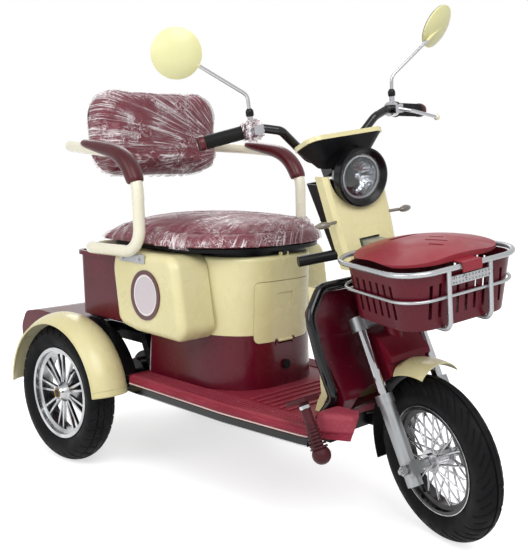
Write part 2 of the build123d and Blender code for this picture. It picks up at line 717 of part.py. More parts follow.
def seat_loop(radius):
    """Across behind the seat, forward, up the posts, back along the arms and round behind the backrest."""
    y = -SEAT_TUBE_Y
    right = [(LOOP_REAR, y, LOOP_Z), (POST_LOW[0], y, POST_LOW[1]), (POST_HIGH[0], y, POST_HIGH[1]),
             (ARM_BACK[0], y, ARM_BACK[1]), (BACK_BAR_X + 38, y + 30, BACK_BAR_Z), (BACK_BAR_X, y + 116, BACK_BAR_Z)]
    bends = [60, 62, ARM_BEND, 120, 50, 50]
    return tube(mirrored_path(right), radius, bends + bends[::-1], close=True)


# Bracket plate: rear x, front x, low z, high z
BRACKET = (244, 350, 618, 642)
BRACKET_T = 4
BOLT_R = 3.3


def make_seat_brackets():
    """Plates on the pods, under the loop's side tubes, each with two bolt holes."""
    x0, x1, z0, z1 = BRACKET
    y = -POD_OUT - SEAT_GAP
    holes = Pos(x0 + 14, z0 + 10) * Circle(BOLT_R) + Pos(x1 - 22, z0 + 10) * Circle(BOLT_R)
    bolts = extrude(Plane.XZ.offset(POD_OUT) * holes, amount=3 * BRACKET_T)
    return both_sides(slab(x0, x1, y - BRACKET_T, y, z0, z1) - bolts) - seat_loop(SEAT_TUBE_R + FIT)


ARM_PAD_R = 21
ARM_PAD_REAR = 118
ARM_PAD_LOW = 838


def make_armrests():
    """Moulded sleeves on the arms, from behind the elbow down over the bend of the post."""
    slope = (ARM_BACK[1] - POST_HIGH[1]) / (POST_HIGH[0] - ARM_BACK[0])
    rear = (ARM_PAD_REAR, -SEAT_TUBE_Y, ARM_BACK[1] - slope * (ARM_PAD_REAR - ARM_BACK[0]))
    corner = (POST_HIGH[0], -SEAT_TUBE_Y, POST_HIGH[1])
    foot = (POST_LOW[0], -SEAT_TUBE_Y, POST_LOW[1])
    sleeve = tube([rear, corner, foot], ARM_PAD_R, ARM_BEND)
    below = slab(ARM_PAD_REAR, POST_LOW[0] + 60, -SEAT_TUBE_Y - 60, -SEAT_TUBE_Y + 60, LOOP_Z - 60, ARM_PAD_LOW)
    return both_sides(sleeve - below) - seat_loop(SEAT_TUBE_R + FIT)


# Seat
CUSHION_REAR = 90
CUSHION_FRONT = 584
CUSHION_HALF = 290
CUSHION_LOW = 664
CUSHION_HIGH = 726
CUSHION_BACK_CORNER = 70
CUSHION_FRONT_CORNER = 230
CUSHION_EDGE = 20
CUSHION_DOME_R = 1500
PAN_T = 10
PAN_IN = 36


def seat_plan(inset, z):
    """The seat in plan: small corners behind and wide ones in front."""
    half = CUSHION_HALF - inset
    front = CUSHION_FRONT - min(inset, 10)
    corners = [CUSHION_BACK_CORNER - inset / 2, CUSHION_FRONT_CORNER - inset]
    return plan_profile([(CUSHION_REAR + inset, -half), (front, -half), (front, half), (CUSHION_REAR + inset, half)],
                        corners + corners[::-1], z)


def make_seat_cushion():
    """A pad with a domed top and rounded edges."""
    body = extrude(seat_plan(0, CUSHION_LOW), amount=CUSHION_HIGH - CUSHION_LOW)
    middle = (CUSHION_REAR + CUSHION_FRONT) / 2
    body &= Pos(middle, 0, CUSHION_HIGH - CUSHION_DOME_R) * Sphere(CUSHION_DOME_R)
    top = body.faces().filter_by(GeomType.SPHERE)[0]
    return fillet(top.edges(), CUSHION_EDGE)


def make_seat_pan():
    """The board under the cushion, with a skirt that closes the box's mouth and the knuckle of the seat's hinge."""
    top = CUSHION_LOW - SEAT_GAP
    pan = extrude(seat_plan(PAN_IN, top - PAN_T), amount=PAN_T)
    foot = BOX_TOP + SEAT_GAP
    skirt = rounded_plan(BOX_REAR + 24, BOX_FRONT - 24, BOX_HALF - 24, 110, foot) - rounded_plan(
        BOX_REAR + 34, BOX_FRONT - 34, BOX_HALF - 34, 100, foot)
    half = SEAT_HINGE_HALF
    knuckle = slab(SEAT_HINGE_X - 3.5, SEAT_HINGE_X + 3.5, -half, half, SEAT_HINGE_Z, top - PAN_T + 1)
    knuckle += cross_rod(SEAT_HINGE_X, SEAT_HINGE_Z, SEAT_HINGE_R, -half, half)
    knuckle -= cross_rod(SEAT_HINGE_X, SEAT_HINGE_Z, HINGE_PIN_R + SHAFT_GAP, -half - 1, half + 1)
    return pan + extrude(skirt, amount=top - foot) + knuckle


# Backrest plane: local X left, local Y up and a little back, local Z forward
BACK_TILT = 8
BACK_Z = 960
BACK_X = -8
BACK = Plane(origin=(BACK_X, 0, BACK_Z), x_dir=(0, 1, 0),
             z_dir=(cos(radians(BACK_TILT)), 0, sin(radians(BACK_TILT))))
BACK_HALF = 232
BACK_H = 256
BACK_T = 72
BOARD_T = 14
CLAMP_Y = 110


def make_backrest_cushion():
    outline = BACK * Pos(0, 0, SEAT_GAP) * RectangleRounded(2 * BACK_HALF, BACK_H, 80)
    body = extrude(outline, amount=BACK_T)
    return fillet(body.edges().group_by(Axis.X)[-1], 26)


def make_backrest_board():
    """The board behind the cushion, with two blocks that clasp the loop's back bar."""
    board = extrude(BACK * RectangleRounded(2 * BACK_HALF - 40, BACK_H - 36, 68), amount=-BOARD_T)
    block = slab(BACK_BAR_X, BACK_X, -CLAMP_Y - 22, -CLAMP_Y + 22, BACK_BAR_Z - 20, BACK_BAR_Z + 20)
    return board + both_sides(block) - seat_loop(SEAT_TUBE_R + FIT)


# Front fork
LEG_Y = 83
LEG_AHEAD = -8
STANCHION_R = 13
STANCHION_LOW = 14
LOWER_R = 19
LOWER_TOP = 182
LOWER_END = -42
CROWN_LOW = 342
CROWN_HIGH = 376
CLAMP_R = 21
COLUMN_TOP = 742


def along_fork(ahead, left, low, high, radius):
    """A round bar parallel to the steering axis."""
    return FORK * Pos(ahead, left, (low + high) / 2) * Cylinder(radius, high - low)


def crown_bridge(gap):
    """The bar between the two leg clamps, grown by a gap."""
    return FORK * Pos(0, 0, (CROWN_LOW + CROWN_HIGH) / 2 - 2) * Box(44 + gap, 2 * LEG_Y, 22 + gap)


def make_fork_crown():
    """The crown with its two leg clamps, and the column that turns in the head tube."""
    crown = along_fork(0, 0, CROWN_LOW, COLUMN_TOP, COLUMN_R) + crown_bridge(0)
    crown += along_fork(0, 0, CROWN_HIGH - 12, HEAD_LOW - 1, HEAD_R - 3)
    crown += along_fork(0, 0, HEAD_HIGH + 1, HEAD_HIGH + 13, COLUMN_R + 5)
    crown += both_sides(along_fork(LEG_AHEAD, -LEG_Y, CROWN_LOW, CROWN_HIGH, CLAMP_R))
    return crown - both_sides(along_fork(LEG_AHEAD, -LEG_Y, CROWN_LOW - 5, CROWN_HIGH - 4, STANCHION_R + FIT))


def make_fork_stanchions():
    return both_sides(along_fork(LEG_AHEAD, -LEG_Y, STANCHION_LOW, CROWN_HIGH - 4 - FIT, STANCHION_R))


def make_fork_lowers():
    """Lower legs with their caps, and feet that hold the axle ahead of the leg."""
    lower = along_fork(LEG_AHEAD, -LEG_Y, LOWER_END, LOWER_TOP - 22, LOWER_R)
    lower += along_fork(LEG_AHEAD, -LEG_Y, LOWER_TOP - 24, LOWER_TOP, LOWER_R + 3)
    lower += FORK * Pos(2, -LEG_Y, 0) * Box(40, 2 * LOWER_R - 8, 34)
    lower -= along_fork(LEG_AHEAD, -LEG_Y, STANCHION_LOW - FIT, LOWER_TOP + 5, STANCHION_R + FIT)
    return both_sides(lower - cross_rod(0, TYRE_R, FRONT_AXLE_R + FIT, -LEG_Y - 30, -LEG_Y + 30))


NUT_R = 12
NUT_T = 9
SLEEVE_R = 11


def make_front_axle():
    """The axle bolt, its nuts and the sleeves between the hub and the legs."""
    nut_y = LEG_Y + LOWER_R + SEAT_GAP
    end = nut_y + NUT_T + 4
    axle = cross_rod(0, TYRE_R, FRONT_AXLE_R, -end, end)
    sleeve = cross_rod(0, TYRE_R, SLEEVE_R, -LEG_Y + LOWER_R + SEAT_GAP, -FRONT_HUB_HALF - 0.5)
    nut = Pos(0, 0, TYRE_R) * extrude(Plane.XZ.offset(nut_y) * RegularPolygon(NUT_R, 6), amount=NUT_T)
    return axle + both_sides(sleeve + nut)


# Front guard, fender and mudflap
GUARD_R = TYRE_R + 12
FLAP_T = 3
FLAP_HALF = 36
FLAP_SPAN = (115, 197)
FRONT_FENDER_R = TYRE_R + 42
FRONT_FENDER_EDGE_R = TYRE_R + 13
FRONT_FENDER_HALF = 52
FRONT_FENDER_SPAN = (84, 114)
GUARD_HALF = 56


def make_inner_guard():
    """The body-coloured guard between the fork legs, arched over the tyre and hung from the crown."""
    body = plate_across([(-203, 496), (-130, 486), (-83, 452), (-73, 420), (-85, 350), (-149, 350)], GUARD_HALF, 6)
    tyre_room = cross_rod(0, TYRE_R, GUARD_R, -70, 70)
    reach = FRONT_FENDER_R + SEAT_GAP
    fender_room = wheel_arc(make_face(Polyline((-60, 0), (60, 0), (60, reach), (-60, reach), close=True)),
                            (60, FRONT_FENDER_SPAN[1] + 0.5))
    legs = both_sides(along_fork(LEG_AHEAD, -LEG_Y, 0, CROWN_HIGH, 30))
    lug = along_fork(0, 0, GUARD_R + 70, CROWN_LOW - SEAT_GAP, COLUMN_R + 4)
    return body - tyre_room - fender_room - legs + lug


def make_front_fender():
    """The short crowned fender ahead of the guard."""
    def arc(drop):
        edge = FRONT_FENDER_EDGE_R - drop
        return ThreePointArc((-FRONT_FENDER_HALF, edge), (0, FRONT_FENDER_R - drop), (FRONT_FENDER_HALF, edge))

    outer, inner = arc(0), arc(FENDER_T)
    section = make_face(outer + inner + Line(outer @ 1, inner @ 1) + Line(inner @ 0, outer @ 0))
    return wheel_arc(section, FRONT_FENDER_SPAN)


def make_front_mudflap():
    top = GUARD_R - SEAT_GAP
    section = make_face(Polyline((-FLAP_HALF, top - FLAP_T), (FLAP_HALF, top - FLAP_T), (FLAP_HALF, top),
                                 (-FLAP_HALF, top), close=True))
    return wheel_arc(section, FLAP_SPAN)


# Handlebar, its right half read from the tip of the grip to the middle
BAR_R = 11
BAR_HALF = [(-410, -337, 982), (-365, -190, 1003), (-352, -140, 990), (-369, -55, 905)]
BAR_BENDS = [60, 30, 40]
GRIP_R = 16.5
GRIP_L = 120
HOUSING_L = 24
HOUSING_R = 19
STEM_CLAMP = (46, 50, 52)


def bar_tube(radius):
    return tube(mirrored_path(BAR_HALF), radius, BAR_BENDS + BAR_BENDS[::-1])


def stem_clamp(gap):
    """The block that joins the bar to the column, grown by a gap."""
    size = [side + gap for side in STEM_CLAMP]
    return FORK * Pos(-2, 0, COLUMN_TOP + SEAT_GAP + STEM_CLAMP[2] / 2) * Box(*size)


def bar_point(distance):
    """A point on the straight grip end of the right bar, measured from its tip."""
    start, inner = Vector(*BAR_HALF[0]), Vector(*BAR_HALF[1])
    return start + (inner - start).normalized() * distance


def make_handlebar():
    return bar_tube(BAR_R) + stem_clamp(0)


def make_grips():
    sleeve = rod(bar_point(-3), bar_point(GRIP_L), GRIP_R)
    flange = rod(bar_point(GRIP_L - 4), bar_point(GRIP_L), GRIP_R + 4)
    return both_sides(sleeve + flange - rod(bar_point(0), bar_point(GRIP_L + 20), BAR_R + FIT))


MIRROR_FOOT = (-369, -212, 1033)


def make_bar_controls():
    """Switch housings on the bar with the mirror sockets on top, and the left brake lever."""
    low, high = GRIP_L + 1, GRIP_L + 1 + HOUSING_L
    x, y, z = MIRROR_FOOT
    housing = rod(bar_point(low), bar_point(high), HOUSING_R)
    block = Pos(*bar_point((low + high) / 2)) * Pos(14, 2, 2) * Box(44, 24, 22)
    socket = rod((x, y, z - 26), MIRROR_FOOT, 7)
    lever = tube([(-343, 202, 1004), (-319, 240, 992), (-343, 336, 964)], 4.5, 30)
    return both_sides(housing + block + socket) + lever - bar_tube(BAR_R + FIT)


# Mirrors: side, head's place, tilt of its face upwards
MIRROR_R = 59
MIRROR_TOE = 21
MIRROR_ROWS = [(-1, (-378, -379, 1197), 4), (1, (-378, 388, 1196), 28)]


def make_mirrors():
    """Dished heads turned a little outwards, each on its bent stem."""
    shell = Line((0, -8), (0, 12)) + ThreePointArc((0, 12), (MIRROR_R * 0.62, 7), (MIRROR_R, -3))
    rim = Line((MIRROR_R, -3), (MIRROR_R, -8)) + Line((MIRROR_R, -8), (0, -8))
    dish = revolve(Plane.XZ * make_face(shell + rim), axis=Axis.Z)
    foot_x, foot_y, foot_z = MIRROR_FOOT
    mirrors = []
    for side, place, tilt in MIRROR_ROWS:
        head = Pos(*place) * Rot(0, 0, side * MIRROR_TOE) * Rot(0, 90 + tilt, 0) * dish
        bend = (foot_x + 2, side * (-foot_y + 2), foot_z + 51)
        reach = (place[0] + 10, place[1] - side * 3, place[2] - 2)
        mirrors.append(head + tube([(foot_x, side * -foot_y, foot_z + SEAT_GAP), bend, reach], 4.5, 24))
    return mirrors[0] + mirrors[1]


# Headlight
LAMP_AT = (-219, 0, 862)
LAMP_TILT = 3.6
LAMP_R = 72
LENS_R = 56
LENS_DOME_R = 400


def lamp_place(shape):
    return Pos(*LAMP_AT) * Rot(0, 90 + LAMP_TILT, 0) * shape


def lamp_room():
    """A round hole for the headlight in the pieces around it."""
    return lamp_place(Pos(0, 0, -34) * Cylinder(LAMP_R + SEAT_GAP, 80))


def make_headlight():
    """Bowl and bezel, open in front for the lens."""
    rows = [(0, -72), (34, -70), (58, -52), (LAMP_R, -24), (LAMP_R, -2), (LAMP_R - 5, 0), (LENS_R + FIT, -7),
            (LENS_R + FIT, -16), (LENS_R - 8, -20), (40, -44), (0, -52)]
    return lamp_place(revolve(Plane.XZ * make_face(Polyline(*rows, close=True)), axis=Axis.Z))


def make_headlight_lens():
    """A shallow dome of even thickness, seated in the bezel."""
    disc = Pos(0, 0, -11) * Cylinder(LENS_R, 10)
    dome = Pos(0, 0, -5 - LENS_DOME_R) * Sphere(LENS_DOME_R)
    return lamp_place((disc & dome) - Pos(0, 0, -4) * dome)


# Dash: a plane that rises forward, local X forward and Y left
DASH_RISE = 20
DASH = Plane(origin=(-315, 0, 944), x_dir=(cos(radians(DASH_RISE)), 0, sin(radians(DASH_RISE))),
             z_dir=(-sin(radians(DASH_RISE)), 0, cos(radians(DASH_RISE))))
DASH_L = 104
DASH_W = 212
DASH_FOOT = (-346, -288, 58, 886)


def bar_room():
    """Room for the bar, its clamp and the column."""
    return bar_tube(BAR_R + 1) + stem_clamp(1) + along_fork(0, 0, HEAD_HIGH, COLUMN_TOP, COLUMN_R + FIT)


def make_dash():
    """The cowl under the instruments, narrowing down to the top of the headlight."""
    rear, front, half, z = DASH_FOOT
    body = loft([DASH * RectangleRounded(DASH_L, DASH_W, 30), rounded_plan(rear, front, half, 20, z)])
    return body - bar_room() - lamp_room()


def make_dash_top():
    """The instrument cover, with a sunk screen."""
    plate = extrude(DASH * Pos(0, 0, SEAT_GAP) * RectangleRounded(DASH_L + 6, DASH_W + 8, 32), amount=11)
    screen = extrude(DASH * Pos(-4, 0, 8.5) * RectangleRounded(58, 116, 12), amount=10)
    return plate - screen - bar_room()


# Shroud below the headlight, by height: front x, front half width, side edge x, side edge half width
SHROUD_ROWS = {872: (-262, 87, -299, 90), 745: (-224, 83, -259, 87), 648: (-195, 76, -229, 82)}
SHROUD_WALL = 4
SHROUD_BEVEL = 10


def shroud_block(grow):
    """The shroud's outer form, grown or shrunk, with bevelled front edges."""
    sections = []
    for z, (front, half, side, side_half) in SHROUD_ROWS.items():
        right = [(side, -side_half - grow), (front - SHROUD_BEVEL + grow, -half - grow),
                 (front + grow, -half + SHROUD_BEVEL - grow / 2)]
        outline = right + [(x, -y) for x, y in reversed(right)]
        sections.append(Plane.XY.offset(z) * make_face(Polyline(*outline, close=True)))
    return loft(sections, ruled=True)


BRACKET_HALF = 26


def make_shroud():
    """The front shroud, hollow, with a round hole for the lamp and a slot for the basket's bracket."""
    slot = slab(-250, -150, -BRACKET_HALF - 4, BRACKET_HALF + 4, RING_Z - 10, RING_Z + 16)
    head = along_fork(0, 0, HEAD_LOW, HEAD_HIGH + MOVE_GAP, HEAD_R + MOVE_GAP)
    return shroud_block(0) - shroud_block(-SHROUD_WALL) - lamp_room() - slot - head - column_lever(LEVER_R + 1)


# Column cover rows: height, rear x, front x, half width
COVER_ROWS = [(850, -360, -296, 83), (686, -280, -238, 76)]
COVER_WALL = 5
COVER_WEB = (758, 763)


def make_column_cover():
    """The black cover behind the shroud, closed towards the rider and carried on the column by a web."""
    outer, inner = [], []
    for z, rear, front, half in COVER_ROWS:
        outer.append(rounded_plan(rear, front, half, 12, z))
        inner.append(Pos((rear + front) / 2 + 8, 0, z) * Rectangle(front - rear, 2 * (half - COVER_WALL)))
    shell = loft(outer) - loft(inner)
    low, high = COVER_WEB
    web = slab(-318, -262, -74, 74, low, high)
    return shell + web - bar_room() - lamp_room() - column_lever(LEVER_R + 1)


def make_turn_signals():
    """Pods on short stems at the shroud's sides."""
    stem = rod((-240, -70, 764), (-230, -110, 764), 4)
    pod = Pos(-228, -122, 764) * Rot(0, 0, -12) * scale(Sphere(11), by=(1.0, 1.8, 0.8))
    return both_sides(stem + pod) - shroud_block(SEAT_GAP)


# Basket: the ring that carries the tub and the lid
RING_R = 6
RING_Z = 701
RING_REAR = -153
RING_FRONT = 143
RING_HALF = 165
RING_CORNER = 76
MID_DROP = 61
MID_R = 3.5
MID_IN = 8
POST_Y = 57
POST_R = 5.5
TUB_DEPTH = 125
TUB_WALL = 3
TUB_TAPER = 18
TUB_REAR_GAP = 26
TUB_TOP = RING_Z - 5
TUB_LOW = TUB_TOP - TUB_DEPTH
CRADLE_LOW = TUB_LOW - POST_R - SEAT_GAP
CROSSBAR = (-36, -17)
SLOT_W = 8
SLOT_PITCH = 24
SLOT_MARGIN = 24


def wire_ring(inset, z, radius):
    """A closed ring of round bar with rounded corners, set in from the basket's outline."""
    rear, front, half = RING_REAR + inset, RING_FRONT - inset, RING_HALF - inset
    return tube([(rear, 0, z), (rear, -half, z), (front, -half, z), (front, half, z), (rear, half, z), (rear, 1, z)],
                radius, RING_CORNER - inset) + cross_rod(rear, z, radius, -1, 2)


def make_basket_cradle():
    """The top ring, the thin middle ring, two bars that run under the tub, and the flat crossbar."""
    cradle = wire_ring(0, RING_Z, RING_R) + wire_ring(MID_IN, RING_Z - MID_DROP, MID_R)
    bar = [(RING_FRONT, -POST_Y, RING_Z), (RING_FRONT - 4, -POST_Y, CRADLE_LOW),
           (RING_REAR + 12, -POST_Y, CRADLE_LOW), (RING_REAR + 4, -POST_Y, RING_Z)]
    cradle += both_sides(tube(bar, POST_R, 24))
    low, high = CROSSBAR
    return cradle + slab(RING_FRONT - 3, RING_FRONT + 1, -POST_Y, POST_Y, RING_Z + low, RING_Z + high)


def tub_plan(grow, z, taper):
    gap = RING_R + SEAT_GAP
    return rounded_plan(RING_REAR + TUB_REAR_GAP + taper * 0.4 - grow, RING_FRONT - gap - taper + grow,
                        RING_HALF - gap - taper + grow, RING_CORNER - gap - taper * 0.5 + grow, z)


def make_basket():
    """The slotted tub that hangs inside the ring."""
    outer = loft([tub_plan(0, TUB_LOW, TUB_TAPER), tub_plan(0, TUB_TOP, 0)])
    inner = loft([tub_plan(-TUB_WALL, TUB_LOW + TUB_WALL, TUB_TAPER), tub_plan(-TUB_WALL, TUB_TOP, 0)])
    tub = outer - inner
    low, high = TUB_LOW + SLOT_MARGIN, TUB_TOP - SLOT_MARGIN
    for row in range(-4, 5):
        y = row * SLOT_PITCH
        tub -= slab(RING_FRONT - 60, RING_FRONT, y - SLOT_W / 2, y + SLOT_W / 2, low, high)
    for row in range(-3, 4):
        x = (RING_REAR + RING_FRONT) / 2 + row * SLOT_PITCH
        tub -= slab(x - SLOT_W / 2, x + SLOT_W / 2, -RING_HALF, RING_HALF, low, high)
    return tub


# Basket lid
LID_HINGE_Y = 40
LID_CLIP_R = 10
LID_CLIP_W = 18
LID_RIM = RING_Z + RING_R + 2
LID_TOP = 738
LID_DOME_R = 550
LID_WALL = 3
LID_CORNER = 96
LID_REAR = RING_REAR + 20
LID_FRONT = RING_FRONT - 22
LID_HALF = RING_HALF - 15
LID_ARCH_R = 300
LID_ARCH_H = 8
TAB_HALF = 26
# vents: x, y, length
LID_VENTS = [(2, 30, 34), (28, 8, 52), (54, -14, 34)]


def lid_dome(inset, low):
    """The lid's domed block, inside its outer skin by an inset."""
    block = extrude(rounded_plan(LID_REAR + inset, LID_FRONT - inset, LID_HALF - inset, LID_CORNER - inset, low),
                    amount=LID_TOP - low)
    return block & Pos((LID_REAR + LID_FRONT) / 2, 0, LID_TOP - LID_DOME_R) * Sphere(LID_DOME_R - inset)


def make_basket_lid():
    """Domed lid with arched sides, a finger slot, slanted vents, a front tab and clips on the ring."""
    lid = lid_dome(0, LID_RIM) - lid_dome(LID_WALL, LID_RIM - 1)
    lid -= cross_rod((LID_REAR + LID_FRONT) / 2, LID_RIM + LID_ARCH_H - LID_ARCH_R, LID_ARCH_R, -200, 200)
    over = RING_Z + RING_R + 1
    tab = slab(LID_FRONT - 30, RING_FRONT + 10, -TAB_HALF, TAB_HALF, over, over + 3)
    tab += slab(RING_FRONT + 7, RING_FRONT + 10, -TAB_HALF, TAB_HALF, RING_Z - 12, over + 3)
    tab += slab(LID_FRONT - 3, LID_FRONT, -TAB_HALF, TAB_HALF, over, LID_RIM + 6)
    lid += tab
    clip = cross_rod(RING_REAR, RING_Z, LID_CLIP_R, -LID_HINGE_Y - LID_CLIP_W / 2, -LID_HINGE_Y + LID_CLIP_W / 2)
    clip += slab(RING_REAR, LID_REAR + 3, -LID_HINGE_Y - LID_CLIP_W / 2, -LID_HINGE_Y + LID_CLIP_W / 2,
                 RING_Z + RING_R + 0.5, RING_Z + LID_CLIP_R + 3)
    lid += both_sides(clip)
    lid -= cross_rod(RING_REAR, RING_Z, RING_R + SHAFT_GAP, -100, 100)
    lid -= Pos(LID_REAR + 54, 0, LID_TOP) * extrude(SlotOverall(80, 20, rotation=90), amount=40, both=True)
    for x, y, length in LID_VENTS:
        lid -= Pos(x, y, LID_TOP) * Rot(0, 0, 35) * extrude(SlotOverall(length, 7), amount=20, both=True)
    return lid


COLLAR = (HEAD_HIGH + 14, HEAD_HIGH + 42)
LEVER_R = 13


def make_basket_bracket():
    """A collar on the column with an arm that lies on the ring's rear tube."""
    low, high = COLLAR
    top = RING_Z + RING_R + SEAT_GAP
    arm = plate_across([(-238, 694), (-238, top + 5), (RING_REAR, top + 5), (RING_REAR, top),
                        (RING_REAR - 11, top), (RING_REAR - 22, 700)], BRACKET_HALF)
    return along_fork(0, 0, low, high, COLUMN_R + 5) + arm - along_fork(0, 0, low - 30, high + 60, COLUMN_R + FIT)


def column_lever(radius):
    """A thick grip out to the right of the column."""
    return tube([(-247, -COLUMN_R - 5 - SEAT_GAP, 682), (-247, -70, 682), (-277, -172, 678)], radius, 60)


def parts_table():
    """Every piece by its node name."""
    rear_right = Pos(0, -TRACK / 2, TYRE_R)
    rear_left = Pos(0, TRACK / 2, TYRE_R) * Rot(0, 0, 180)
    front_hub = Pos(0, 0, TYRE_R)
    rear_tyre = make_tyre(REAR_TYRE_W, REAR_RIM_HALF)
    rear_rim = make_rear_rim()
    nodes = {
        "main_frame": make_main_frame(),
        "floorboard": make_floorboard(),
        "shield_tube": to_front(make_shield_tube()),
        "leg_shield": to_front(make_leg_shield()) - front_wheel_room(),
        "inner_panel": to_front(make_inner_panel()),
        "brake_pedal": to_front(make_brake_pedal()),
        "battery_pack": make_battery_pack(),
        "seat_box_lower": make_seat_box_lower(),
        "seat_box_upper": make_seat_box_upper(),
        "glovebox_door": make_glovebox_door(),
        "charge_port": make_charge_port(),
        "side_pods": both_sides(make_side_pod()),
        "badges": both_sides(make_badge()),
        "rear_bin": make_rear_bin(),
        "rear_fenders": both_sides(make_rear_fender()),
        "wheel_arches": both_sides(make_wheel_arch()),
        "rear_axle": make_rear_axle(),
        "rear_shocks": make_rear_shocks(),
        "rear_rail": make_rear_rail(),
        "tail_cover": make_tail_cover(),
        "tail_lamps": make_tail_lamps(),
        "seat_frame": seat_loop(SEAT_TUBE_R),
        "seat_brackets": make_seat_brackets(),
        "armrests": make_armrests(),
        "seat_cushion": make_seat_cushion(),
        "seat_pan": make_seat_pan(),
        "backrest_cushion": make_backrest_cushion(),
        "backrest_board": make_backrest_board(),
        "rear_rim_right": rear_right * rear_rim,
        "rear_tyre_right": rear_right * rear_tyre,
        "rear_rim_left": rear_left * rear_rim,
        "rear_tyre_left": rear_left * rear_tyre,
    }
    steered = {
        "front_rim": front_hub * make_front_rim(),
        "front_tyre": front_hub * make_tyre(FRONT_TYRE_W, FRONT_RIM_HALF),
        "fork_crown": make_fork_crown(),
        "fork_stanchions": make_fork_stanchions(),
        "fork_lowers": make_fork_lowers(),
        "front_axle": make_front_axle(),
        "inner_guard": make_inner_guard(),
        "front_fender": make_front_fender(),
        "front_mudflap": make_front_mudflap(),
        "handlebar": make_handlebar(),
        "grips": make_grips(),
        "bar_controls": make_bar_controls(),
        "mirrors": make_mirrors(),
        "dash": make_dash(),
        "dash_top": make_dash_top(),
        "headlight": make_headlight(),
        "headlight_lens": make_headlight_lens(),
        "shroud": make_shroud(),
        "column_cover": make_column_cover(),
        "turn_signals": make_turn_signals(),
        "basket_cradle": make_basket_cradle(),
        "basket": make_basket(),
        "basket_lid": make_basket_lid(),
        "basket_bracket": make_basket_bracket(),
        "column_lever": column_lever(LEVER_R),
    }
    for name, shape in steered.items():
        nodes[name] = turned(shape)
    return nodes


os.makedirs("parts", exist_ok=True)
for name, shape in parts_table().items():
    export_step(shape, f"parts/{name}.step")
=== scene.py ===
from math import atan2, cos, hypot, pi, radians, sin, tau

import bmesh
import bpy
import numpy as np
from mathutils import Matrix, Vector, noise
from mathutils.bvhtree import BVHTree


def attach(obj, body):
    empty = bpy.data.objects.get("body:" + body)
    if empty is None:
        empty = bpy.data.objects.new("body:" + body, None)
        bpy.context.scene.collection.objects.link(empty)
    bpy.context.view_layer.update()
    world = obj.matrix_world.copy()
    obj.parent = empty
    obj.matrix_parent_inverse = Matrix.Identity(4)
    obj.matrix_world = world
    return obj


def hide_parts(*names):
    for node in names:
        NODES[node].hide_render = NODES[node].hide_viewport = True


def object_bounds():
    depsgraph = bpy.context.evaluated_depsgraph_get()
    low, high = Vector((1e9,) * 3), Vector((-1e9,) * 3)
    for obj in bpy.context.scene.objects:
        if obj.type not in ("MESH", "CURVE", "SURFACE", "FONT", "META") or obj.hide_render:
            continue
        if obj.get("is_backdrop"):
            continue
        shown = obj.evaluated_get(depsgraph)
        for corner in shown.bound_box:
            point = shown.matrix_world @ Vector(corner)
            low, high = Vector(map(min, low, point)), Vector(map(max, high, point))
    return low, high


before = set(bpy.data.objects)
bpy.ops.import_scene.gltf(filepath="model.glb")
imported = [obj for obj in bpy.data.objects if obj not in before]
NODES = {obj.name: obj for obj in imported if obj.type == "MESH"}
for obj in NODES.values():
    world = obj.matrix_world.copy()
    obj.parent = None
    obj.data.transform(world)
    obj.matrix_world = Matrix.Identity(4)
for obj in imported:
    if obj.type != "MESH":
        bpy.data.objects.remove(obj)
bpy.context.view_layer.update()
scene = bpy.context.scene

shift = Matrix.Translation

# Lengths are in metres, in the CAD's frame. Steered pieces are drawn from the front axle with the
# wheel straight ahead, and STEERED takes them to where the wheel is parked.
AXLE = Vector((1.085, 0, 0.204))
CASTER = radians(27)
PARKED = radians(-19)
LEAN = Vector((-sin(CASTER), 0, cos(CASTER)))
STEERED = shift(AXLE) @ Matrix.Rotation(PARKED, 4, LEAN) @ shift(-AXLE) @ shift((AXLE.x, 0, 0))
TYRE_R = 0.204
TRACK_HALF = 0.318
RIGHT_MIRROR, LEFT_MIRROR = (-0.378, -0.379, 1.197), (-0.378, 0.388, 1.196)


def paint(red, green, blue):
    """The shader's linear colour for a colour read off a screen."""
    linear = [v / 3294.6 if v <= 10 else ((v / 255 + 0.055) / 1.055) ** 2.4 for v in (red, green, blue)]
    return (*linear, 1.0)


# Node trees


class Wire:
    """A socket on which sums can be written."""

    def __init__(self, wiring, socket):
        self.wiring, self.socket = wiring, socket

    def maths(self, operation, first, second):
        return self.wiring.node("ShaderNodeMath", {"operation": operation}, {0: first, 1: second})

    def __add__(self, other):
        return self.maths("ADD", self, other)

    __radd__ = __add__

    def __sub__(self, other):
        return self.maths("SUBTRACT", self, other)

    def __rsub__(self, other):
        return self.maths("SUBTRACT", other, self)

    def __mul__(self, other):
        return self.maths("MULTIPLY", self, other)

    __rmul__ = __mul__

    def __pow__(self, other):
        return self.maths("POWER", self, other)


class Wiring:
    """A node tree that is built a node at a time."""

    def __init__(self, tree):
        self.tree = tree

    def node(self, kind, settings=None, sockets=None, out=0):
        """A node of a type, its settings first, then the values or links of its sockets."""
        made = self.tree.nodes.new(kind)
        for name, value in (settings or {}).items():
            setattr(made, name, value)
        for key, value in (sockets or {}).items():
            if isinstance(value, Wire):
                self.tree.links.new(value.socket, made.inputs[key])
            else:
                made.inputs[key].default_value = value
        return Wire(self, made.outputs[out]) if made.outputs else None


